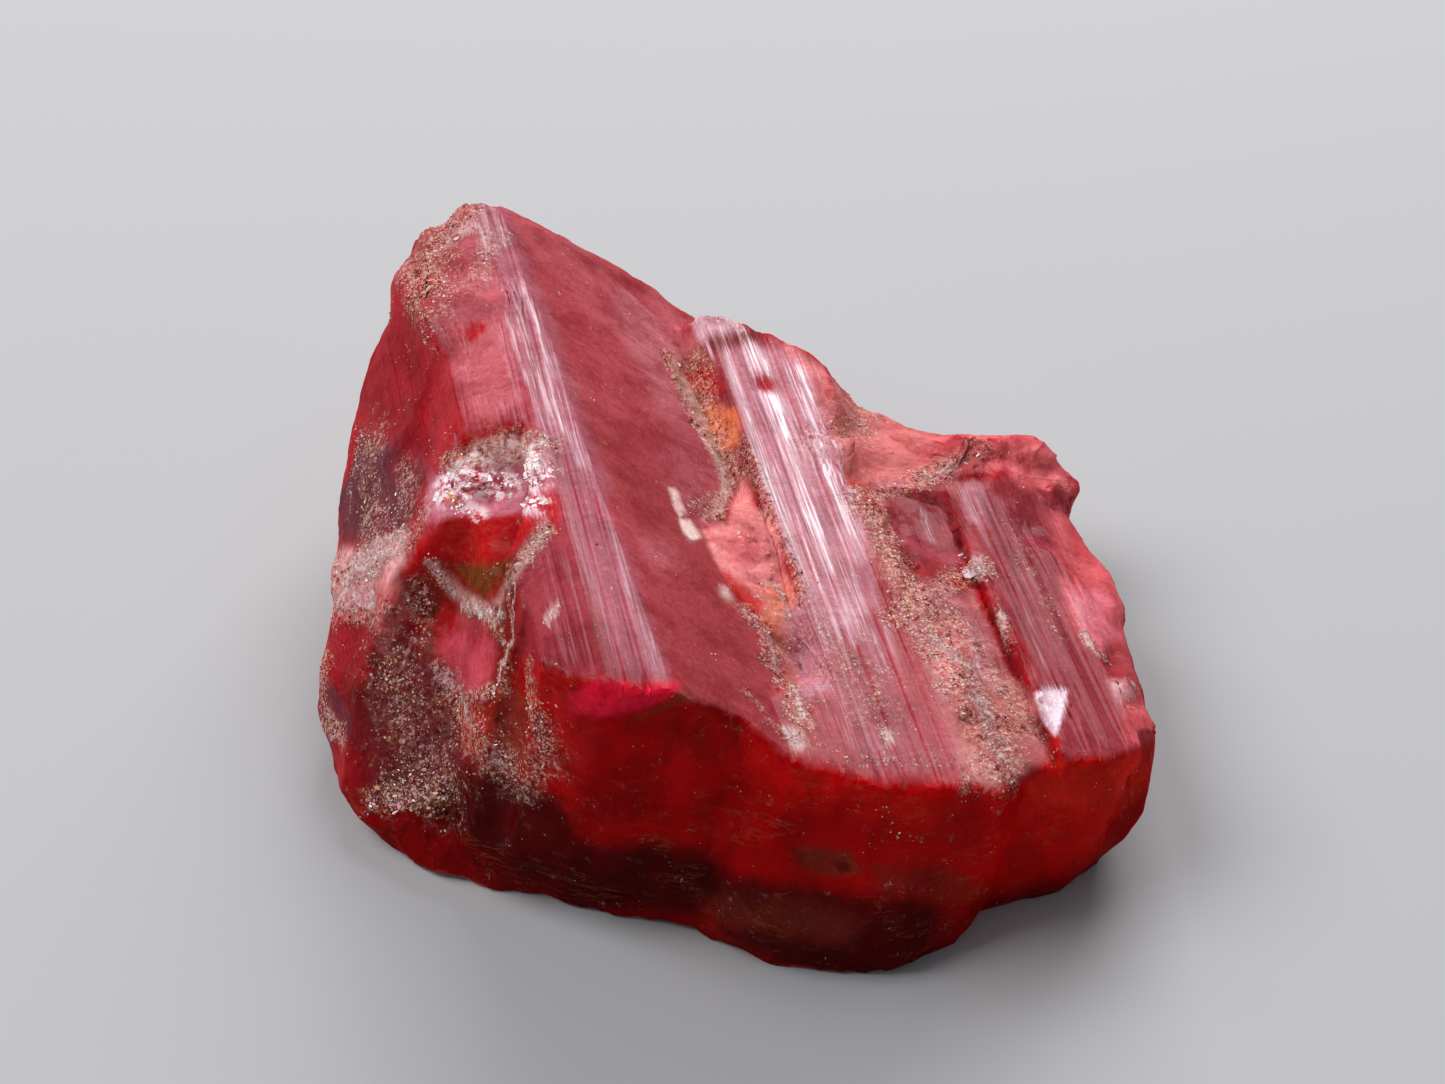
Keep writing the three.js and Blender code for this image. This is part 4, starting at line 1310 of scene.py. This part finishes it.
def makeGrains():
    rng = np.random.default_rng(grains["seed"])
    count = grains["count"]
    cover = np.maximum(crust, pale)[tris].mean(axis=1)
    patches = fractal(cutPoints[tris].mean(axis=1), grains["patch"], seeds["grainPatches"], 4)
    cover = cover + grains["patchy"] * patches
    stray = grains["stray"] * (1 - grains["fewerOnBreaks"] * broken[tris[:, 0]])
    weight = areasOf(points, tris) * (stray + smooth(*grains["cover"], cover) ** grains["gathered"])
    weight = weight * (1 - under[tris[:, 0]])
    chosen = rng.choice(len(tris), count, p=weight / weight.sum())
    share = rng.dirichlet((1, 1, 1), count)
    place = (points[tris[chosen]] * share[:, :, None]).sum(axis=1)
    up = unit(crossOf(points, tris[chosen]))
    size = grains["size"] * np.exp(grains["spread"] * rng.standard_normal(count))
    size = np.minimum(size, grains["largest"])
    tips = np.array([(1, 0, 0), (-1, 0, 0), (0, 1, 0), (0, -1, 0), (0, 0, 1), (0, 0, -1)], float)
    turn = np.linalg.qr(rng.standard_normal((count, 3, 3)))[0]
    turn *= np.sign(np.linalg.det(turn))[:, None, None]
    beads = tips[None] * rng.uniform(*grains["uneven"], (count, len(tips), 1))
    beads = np.einsum("gij,gkj->gki", turn, beads) * size[:, None, None]
    beads += (place + up * (grains["lift"] * size)[:, None])[:, None, :]
    faces = np.array([(0, 2, 4), (2, 1, 4), (1, 3, 4), (3, 0, 4), (2, 0, 5), (1, 2, 5), (3, 1, 5), (0, 3, 5)])
    faces = (faces[None] + len(tips) * np.arange(count)[:, None, None]).reshape(-1, 3)
    colours, odds = [np.array(part) for part in zip(*grains["colours"].values())]
    colour = colours[rng.choice(len(colours), count, p=odds / odds.sum())]
    colour = colour * rng.uniform(*grains["tones"], (count, 1))
    corners = beads.reshape(-1, 3)
    corners[:, 2] = np.maximum(corners[:, 2], 0)
    piece = meshPiece("crustGrains", corners, faces, {"tint": np.repeat(colour, len(tips), axis=0)})
    piece.data.shade_flat()
    return piece


crustGrains = makeGrains()
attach(crustGrains, "root")
print("grains set")

# Small flat flakes scattered among the crust; lengths in mm.
flakes = {
    "seed": 33,
    "lampSpread": 0.1,  # how far the flashing ones are from mirroring the lamp
    "faceSpread": 0.25,
    "turnSpread": 0.6,
    "sides": (4, 7),
    "uneven": 0.3,
    "reach": (0.75, 1.2),
    "spread": 0.5,
    "longest": 0.3,
    "width": (0.35, 0.8),
    "thickness": 0.2,
    "tones": (0.7, 1.1),
    "shine": 0.1,
    "flashShine": 0.9,
    "colours": {
        "white": (0.95, 0.86, 0.89),
        "lilac": (0.88, 0.60, 0.68),
        "cream": (0.93, 0.66, 0.54),
        "gold": (0.72, 0.42, 0.20),
        "amber": (0.95, 0.42, 0.10),
        "pink": (0.85, 0.36, 0.40),
        "red": (0.50, 0.012, 0.020),
    },
}
# Where they lie: places, size, how many, how long, what share of them flashes, and their colours.
scattered = {
    "ledge": ([(445, 488), (490, 480), (540, 472)], 0.7, 150, 0.05, 0.85, "white white lilac red"),
    "ledge front": ([(455, 506), (540, 502)], 0.3, 70, 0.05, 0.85, "white lilac"),
    "ledge amber": ([(448, 496), (456, 502)], 0.16, 14, 0.06, 0.3, "amber"),
    "ledge back": ([(460, 466), (500, 452), (540, 448)], 0.6, 60, 0.03, 0.7, "cream cream gold pink"),
    "peak": ([(405, 250), (440, 225), (460, 260), (435, 290)], 0.8, 90, 0.045, 0.2,
        "cream cream gold pink"),
    "flank": ([(370, 440), (370, 520), (400, 500)], 0.9, 180, 0.025, 0.2, "cream gold white pink"),
    "shoulder": ([(335, 575), (365, 570), (400, 545)], 0.8, 120, 0.045, 0.2, "white lilac cream pink"),
    "column": ([(548, 530), (515, 575), (508, 640), (490, 700)], 0.4, 80, 0.035, 0.2,
        "cream cream gold white"),
    "column left": ([(430, 562), (465, 600), (500, 618)], 0.3, 60, 0.035, 0.2, "cream white pink"),
    "field": ([(400, 660), (410, 740), (470, 760), (530, 720)], 1.6, 260, 0.028, 0.2, "cream gold pink"),
    "field foot": ([(385, 790), (440, 795)], 0.8, 120, 0.04, 0.2, "cream cream gold pink"),
    "trough": ([(670, 355), (705, 420), (745, 480)], 0.6, 90, 0.035, 0.2, "cream gold red pink"),
    "fresh break": ([(740, 530), (775, 600)], 0.8, 30, 0.04, 0.2, "cream pink"),
    "below the fresh break": ([(775, 640), (800, 700)], 0.4, 50, 0.035, 0.2, "cream cream gold"),
    "hollow": ([(845, 395), (865, 440)], 0.9, 60, 0.03, 0.2, "cream gold pink"),
    "flap": ([(915, 478), (955, 458), (1000, 452)], 0.6, 60, 0.03, 0.2, "cream gold pink"),
    "blade crust": ([(870, 510), (895, 570), (920, 620)], 0.7, 120, 0.035, 0.2, "cream gold pink"),
    "crust heart": ([(960, 560), (985, 575)], 0.35, 16, 0.045, 0.5, "white cream lilac"),
    "crust lower": ([(930, 600), (960, 680), (990, 750)], 1.0, 200, 0.03, 0.02, "cream cream pink gold"),
    "rim": ([(785, 735), (880, 762), (960, 765)], 0.4, 30, 0.03, 0.2, "cream pink"),
}


def plate(corners, out, lift):
    # a flat chip with a low crown, sunk a little way into the surface
    count = len(corners)
    crown = corners.mean(axis=0) + out * 1.5 * lift
    verts = np.vstack([corners + out * lift, corners - out * 3 * lift, crown])
    here = np.arange(count)
    ahead = np.roll(here, -1)
    top = np.stack([np.full(count, 2 * count), here, ahead], axis=1)
    side = np.stack([here, here + count, ahead + count], axis=1)
    rest = np.stack([here, ahead + count, ahead], axis=1)
    faces = np.vstack([top, side, rest])
    if crossOf(verts, top).sum(axis=0) @ out < 0:
        faces = faces[:, ::-1]
    return verts, faces


def makeFlakes():
    rng = np.random.default_rng(flakes["seed"])
    middle = cutPoints[tris].mean(axis=1)
    areas = areasOf(points, tris)
    flat = unit(crossOf(points, tris))
    flash = unit(lampDirection(stage["fill"]) - toward)  # a chip that leans this way mirrors it
    verts, faces, colours, shines, total = [], [], [], [], 0
    for places, size, count, usual, flashing, named in scattered.values():
        names = named.split()
        weight = areas * spotted(middle, [(places, size)], seeds["scattered"], 0)
        for which in rng.choice(len(tris), count, p=weight / weight.sum()):
            flashes = rng.random() < flashing
            lean, spread = (flash, flakes["lampSpread"]) if flashes else (flat[which], flakes["faceSpread"])
            out = unit(lean + spread * rng.standard_normal(3))
            along = unit(right - (right @ out) * out + flakes["turnSpread"] * rng.standard_normal(3))
            along = unit(along - (along @ out) * out)
            beside = np.cross(out, along)
            sides = rng.integers(*flakes["sides"])
            jitter = rng.uniform(-flakes["uneven"], flakes["uneven"], sides)
            turn = (np.arange(sides) + jitter) * 2 * np.pi / sides
            long = min(usual * np.exp(flakes["spread"] * rng.standard_normal()), flakes["longest"])
            wide = long * rng.uniform(*flakes["width"])
            reach = rng.uniform(*flakes["reach"], sides)[:, None]
            rim = long * np.cos(turn)[:, None] * along + wide * np.sin(turn)[:, None] * beside
            some, net = plate(points[tris[which]].mean(axis=0) + reach * rim, out, flakes["thickness"] * wide)
            colour = flakes["colours"][names[rng.integers(len(names))]]
            colours.append(np.tile(np.array(colour) * rng.uniform(*flakes["tones"]), (len(some), 1)))
            shines.append(np.full(len(some), flakes["flashShine"] if flashes else flakes["shine"]))
            verts.append(some)
            faces.append(net + total)
            total += len(some)
    corners = np.vstack(verts)
    corners[:, 2] = np.maximum(corners[:, 2], 0)
    attributes = {"tint": np.vstack(colours), "shine": np.concatenate(shines)}
    piece = meshPiece("crustFlakes", corners, np.vstack(faces), attributes)
    piece.data.shade_flat()
    return piece


crustFlakes = makeFlakes()
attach(crustFlakes, "root")
print("flakes set")


# Materials are written as sums on these.
class Wire:
    def __init__(self, finish, socket):
        self.finish = finish
        self.socket = socket

    def sum(self, operation, first, second):
        return self.finish.node("ShaderNodeMath", {"operation": operation}, {0: first, 1: second})

    def __add__(self, other):
        return self.sum("ADD", self, other)

    def __radd__(self, other):
        return self.sum("ADD", other, self)

    def __sub__(self, other):
        return self.sum("SUBTRACT", self, other)

    def __rsub__(self, other):
        return self.sum("SUBTRACT", other, self)

    def __mul__(self, other):
        return self.sum("MULTIPLY", self, other)

    def __rmul__(self, other):
        return self.sum("MULTIPLY", other, self)


class Finish:
    def __init__(self, name):
        self.material = bpy.data.materials.new(name)
        self.material.use_nodes = True
        self.tree = self.material.node_tree
        self.tree.nodes.clear()

    def node(self, kind, settings=None, sockets=None, out=0):
        made = self.tree.nodes.new(kind)
        for key, value in (settings or {}).items():
            setattr(made, key, value)
        for key, value in (sockets or {}).items():
            if isinstance(value, Wire):
                self.tree.links.new(value.socket, made.inputs[key])
            elif isinstance(value, tuple) and made.inputs[key].type == "RGBA":
                made.inputs[key].default_value = (*value, 1)
            else:
                made.inputs[key].default_value = value
        return Wire(self, made.outputs[out]) if len(made.outputs) else made

    def attribute(self, name, out=2):
        return self.node("ShaderNodeAttribute", {"attribute_name": name}, out=out)

    def blend(self, amount, first, second, kind="MIX"):
        settings = {"data_type": "RGBA", "blend_type": kind}
        return self.node("ShaderNodeMix", settings, {0: amount, 6: first, 7: second}, out=2)

    def surface(self, settings, sockets):
        shader = self.node("ShaderNodeBsdfPrincipled", settings, sockets)
        self.node("ShaderNodeOutputMaterial", None, {"Surface": shader})
        return self.material


def smoothWire(wire, low, high):
    settings = {"interpolation_type": "SMOOTHSTEP"}
    return wire.finish.node("ShaderNodeMapRange", settings, {0: wire, 1: low, 2: high})


# Noises in the crystal's finish: scale per mm, detail, stretch, roughness, and a shift that sets them apart.
plain = (1, 1, 1)
noises = {
    "mottle": (0.7, 5, plain, 0.65, 0),
    "cloud": (1.1, 6, (0.4, 1, 0.4), 0.65, 31),
    "frost": (7, 4, plain, 0.75, 41),
    "bands": (4.0, 2, (1, 0.04, 1), 0.6, 0),
    "lines": (11, 2, (1, 0.02, 1), 0.6, 3),
    "hairs": (22, 2, (1, 0.03, 1), 0.5, 7),
    "waver": (1.0, 3, (1, 0.6, 1), 0.6, 29),
    "ragged": (1.8, 6, plain, 0.75, 11),
    "speck": (6.5, 4, plain, 0.75, 5),
    "other": (5.0, 4, plain, 0.75, 17),
    "hue": (3.0, 3, plain, 0.6, 23),
    "clot": (5.5, 4, plain, 0.7, 71),
    "vein": (0.8, 5, (0.6, 0.5, 2.4), 0.6, 51),
    "veined": (0.6, 2, plain, 0.55, 61),
    "gleam": (2.7, 4, (1, 1, 1.6), 0.7, 81),
}
# Clouds and frost: the noise, the mask that confines it, the span over which it sets in,
# how strong it is and the colour that it multiplies by.
clouds = [
    ("mottle", None, (0.42, 0.66), 0.8, (0.66, 0.44, 0.46)),
    ("cloud", "broken", (0.42, 0.62), 0.5, (0.45, 0.25, 0.30)),
    ("cloud", None, (0.48, 0.7), 0.7, (1.2, 1.5, 1.45)),
    ("frost", None, (0.45, 0.65), 0.7, (1.2, 1.5, 1.45)),
    ("other", None, (0.5, 0.66), 0.5, (0.70, 0.45, 0.48)),
]
# Round dots: how many cells there are to a mm, how wide the dots are, and a shift.
dots = {"pale": (9, 0.42, 3), "fine": (17, 0.4, 13)}
finish = {
    "roughness": 0.42,
    "crustRoughness": 0.4,
    "glintSmoothness": 0.3,
    "coatRoughness": 0.14,
    "ior": 1.7,
    "subsurface": 0.25,
    "radius": (1.0, 0.06, 0.08),
    "depth": 1.2,  # how far red light spreads inside, in mm
    "relief": 0.05,  # the bump's depth in mm
    "paintedGlow": 0.3,  # a painted glow: emission that stands in for the light that glassy chips gather
    "lineColour": (0.90, 0.58, 0.68),
    "betweenLines": (0.60, 0.42, 0.50),
    "faintLines": (1.12, 1.35, 1.4),
    "streakColour": (0.96, 0.76, 0.84),
    "cream": (0.95, 0.68, 0.58),
    "gold": (0.84, 0.46, 0.29),
    "dustPink": (0.95, 0.45, 0.48),
    "paleCream": (0.95, 0.68, 0.62),
    "underCrust": (0.62, 0.16, 0.20),
    "pit": (0.16, 0.008, 0.006),
    "vein": (0.42, 0.10, 0.035),
    "gleam": (1.0, 0.84, 0.87),
    "betweenGleams": (0.55, 0.08, 0.12),
}


def crystalFinish():
    f = Finish("rhodonite")
    mask = {name: f.attribute(name) for name in masks}
    place = f.node("ShaderNodeTexCoord", out=3)
    inMm = f.node("ShaderNodeVectorMath", {"operation": "SCALE"}, {0: place, 3: 1 / mm})
    noise = {}
    for name, (scale, detail, stretch, rough, shift) in noises.items():
        where = {0: inMm, 1: stretch, 2: (shift, shift, shift)}
        where = f.node("ShaderNodeVectorMath", {"operation": "MULTIPLY_ADD"}, where)
        sockets = {"Vector": where, "Scale": scale, "Detail": detail, "Roughness": rough}
        noise[name] = f.node("ShaderNodeTexNoise", None, sockets)

    def dotted(name, share):
        # round dots; share says how many of the places have one
        scale, reach, shift = dots[name]
        where = f.node("ShaderNodeVectorMath", {"operation": "ADD"}, {0: inMm, 1: (shift, shift, shift)})
        off = f.node("ShaderNodeTexVoronoi", None, {"Vector": where, "Scale": scale})
        chance = f.node("ShaderNodeTexVoronoi", None, {"Vector": where, "Scale": scale}, out=1)
        chance = f.node("ShaderNodeSeparateColor", None, {0: chance})
        return smoothWire(share - chance, 0, 0.04) * smoothWire(reach - off, 0, 0.12)

    # light and dark clouds inside the crystal, and the frosted look of its skin
    colour = f.attribute("tint", 0)
    for name, held, span, amount, over in clouds:
        amount = amount * mask[held] if held else amount
        colour = f.blend(amount * smoothWire(noise[name], *span), colour, over, "MULTIPLY")
    frost, ragged, speck, other, hue = [noise[name] for name in ("frost", "ragged", "speck", "other", "hue")]

    # brownish veins in the break
    vein = f.node("ShaderNodeMath", {"operation": "ABSOLUTE"}, {0: noise["vein"] - 0.5})
    veined = mask["broken"] * (1 - smoothWire(vein, 0, 0.02)) * smoothWire(noise["veined"], 0.48, 0.6)
    colour = f.blend(0.25 * veined, colour, finish["vein"])

    # the striae: pale lines, painted highlights of sheen and streaks, and dark ones between them
    flat, sheen = mask["striated"], mask["sheen"]
    bands, lines, hairs = noise["bands"], noise["lines"], noise["hairs"]
    waver = noise["waver"] - 0.5
    band = smoothWire(bands + 0.4 * waver, 0.45, 0.52)
    line = smoothWire(lines + 0.25 * waver, 0.49, 0.55)
    hair = smoothWire(hairs, 0.48, 0.58)
    between = 0.6 * flat * (1 - smoothWire(lines, 0.36, 0.46))
    colour = f.blend(between, colour, finish["betweenLines"], "MULTIPLY")
    # painted sheen: pale lines where the sheen mask lies
    shining = sheen * flat * (band * (0.10 + 0.55 * line) + 0.3 * line * hair)
    colour = f.blend(shining, colour, finish["lineColour"])
    # painted highlight streaks
    bright = mask["streak"] * flat * (0.2 + 0.4 * line + 0.3 * hair)
    colour = f.blend(bright, colour, finish["streakColour"])
    faint = flat * (1 - sheen) * hair * smoothWire(bands, 0.42, 0.6)
    colour = f.blend(faint, colour, finish["faintLines"], "MULTIPLY")

    # crust: dusty film, clots, pale specks and dark specks
    cover = smoothWire(mask["crust"] + 1.4 * (ragged - 0.5), 0.05, 0.6)
    dust = f.blend(smoothWire(hue, 0.52, 0.66), finish["cream"], finish["dustPink"])
    dust = f.blend(smoothWire(hue, 0.4, 0.6), finish["gold"], dust)
    colour = f.blend(0.18 * cover * smoothWire(frost, 0.4, 0.62), colour, dust)
    colour = f.blend(0.8 * smoothWire(other - 0.72 + 0.2 * cover, 0, 0.05), colour, finish["pit"])
    clot = noise["clot"]
    colour = f.blend(0.5 * cover * smoothWire(clot, 0.54, 0.6), colour, dust)
    colour = f.blend(0.7 * cover * (1 - smoothWire(clot, 0.38, 0.46)), colour, finish["underCrust"], "MULTIPLY")
    paleDots = dotted("pale", 0.45 * cover - 0.01)
    colour = f.blend(0.75 * paleDots, colour, dust)
    fineDots = dotted("fine", 0.4 * cover + 0.004 * (1 - mask["broken"]))
    colour = f.blend(0.6 * fineDots, colour, finish["cream"])
    patchy = 1.2 * (ragged - 0.5) + 1.8 * (speck - 0.5) + 0.8 * (other - 0.5)
    paleCover = smoothWire(mask["pale"] + patchy, 0.42, 0.62) * (0.3 + 0.6 * smoothWire(frost, 0.36, 0.52))
    paleDust = f.blend(smoothWire(hue, 0.42, 0.6), finish["dustPink"], finish["paleCream"])
    colour = f.blend(paleCover, colour, paleDust)

    # painted highlights and glow: bright splinters and red gaps among the glassy chips, and an emission that
    # makes them glow
    glint, gleam = mask["glint"], noise["gleam"]
    gleams = glint * smoothWire(gleam, 0.48, 0.54)
    gaps = 0.8 * glint * (1 - smoothWire(gleam, 0.40, 0.46))
    colour = f.blend(gaps, colour, finish["betweenGleams"], "MULTIPLY")
    colour = f.blend(0.95 * gleams, colour, finish["gleam"])
    # painted glow: the glassy chips give off light in their own colour
    lit = f.blend(glint * (0.4 + 0.6 * gleams), (0, 0, 0), colour)

    rough = finish["roughness"] + finish["crustRoughness"] * cover - finish["glintSmoothness"] * glint
    relief = cover * (0.8 * speck + 0.6 * other + 0.5 * paleDots + 0.3 * fineDots) + paleCover * (0.8 + speck)
    height = flat * (0.25 * bands + 0.4 * lines + 0.25 * hairs) + relief + 0.3 * ragged + 0.15 * frost
    bump = {"Strength": 1.0, "Distance": finish["relief"] * mm, "Height": height}
    coat = 0.05 + 0.05 * flat + sheen * flat * (0.06 + 0.3 * band * line) + 0.5 * bright * line
    coat = coat + 0.1 * glint + 0.25 * paleDots * cover
    sockets = {
        "Base Color": colour,
        "Roughness": rough,
        "IOR": finish["ior"],
        "Specular IOR Level": 0.0,
        "Subsurface Weight": finish["subsurface"],
        "Subsurface Radius": finish["radius"],
        "Subsurface Scale": finish["depth"] * mm,
        "Coat Weight": coat,
        "Coat Roughness": finish["coatRoughness"],
        "Coat IOR": finish["ior"],
        "Emission Color": lit,
        "Emission Strength": finish["paintedGlow"],
        "Normal": f.node("ShaderNodeBump", None, bump),
    }
    return f.surface({"subsurface_method": "RANDOM_WALK"}, sockets)


grainLook = {
    "blotchesPerMm": 18,
    "worn": (0.6, 0.5, 0.45),
    "ior": 1.55,
    "specular": 0.15,
    "coatRoughness": 0.16,
    "coatIor": 2.1,
}


def grainFinish():
    f = Finish("crust grains")
    tinted = f.attribute("tint", 0)
    place = f.node("ShaderNodeTexCoord", out=3)
    sockets = {"Vector": place, "Scale": grainLook["blotchesPerMm"] / mm, "Detail": 2}
    blotch = f.node("ShaderNodeTexNoise", None, sockets)
    worn = f.blend(1, tinted, grainLook["worn"], "MULTIPLY")
    sockets = {
        "Base Color": f.blend(smoothWire(blotch, 0.45, 0.6), tinted, worn),
        "Roughness": 0.4 + 0.3 * blotch,
        "IOR": grainLook["ior"],
        "Specular IOR Level": grainLook["specular"],
        "Coat Weight": f.attribute("shine"),
        "Coat Roughness": grainLook["coatRoughness"],
        "Coat IOR": grainLook["coatIor"],
    }
    return f.surface({}, sockets)


crystal.data.materials.append(crystalFinish())
grainMaterial = grainFinish()
for piece in (crustGrains, crustFlakes):
    piece.data.materials.append(grainMaterial)
print("materials made")


# The floor and the light.
def makeStage():
    mesh = bpy.data.meshes.new("floor")
    r = stage["floorReach"]
    mesh.from_pydata([(-r, -r, 0), (r, -r, 0), (r, r, 0), (-r, r, 0)], [], [(0, 1, 2, 3)])
    floor = bpy.data.objects.new("floor", mesh)
    bpy.context.scene.collection.objects.link(floor)
    f = Finish("pale floor")
    sockets = {"Base Color": stage["floor"], "Roughness": stage["floorRoughness"]}
    mesh.materials.append(f.surface({}, sockets))
    world = bpy.data.worlds.new("studio")
    world.use_nodes = True
    background = world.node_tree.nodes["Background"]
    background.inputs["Color"].default_value = (*stage["sky"], 1)
    background.inputs["Strength"].default_value = stage["skyStrength"]
    bpy.context.scene.world = world


def makeLamp(name):
    lamp = stage[name]
    out = Vector(lampDirection(lamp))
    data = bpy.data.lights.new(name, "AREA")
    data.shape = "SQUARE"
    data.size = lamp["size"]
    data.energy = lamp["power"]
    made = bpy.data.objects.new(name, data)
    made.location = Vector(view["target"]) * mm + out * lamp["distance"]
    made.rotation_mode = "QUATERNION"
    made.rotation_quaternion = (-out).to_track_quat("-Z", "Y")
    bpy.context.scene.collection.objects.link(made)


makeStage()
makeLamp("window")
makeLamp("fill")
bpy.context.scene.view_settings.view_transform = "Standard"
print("stage set")
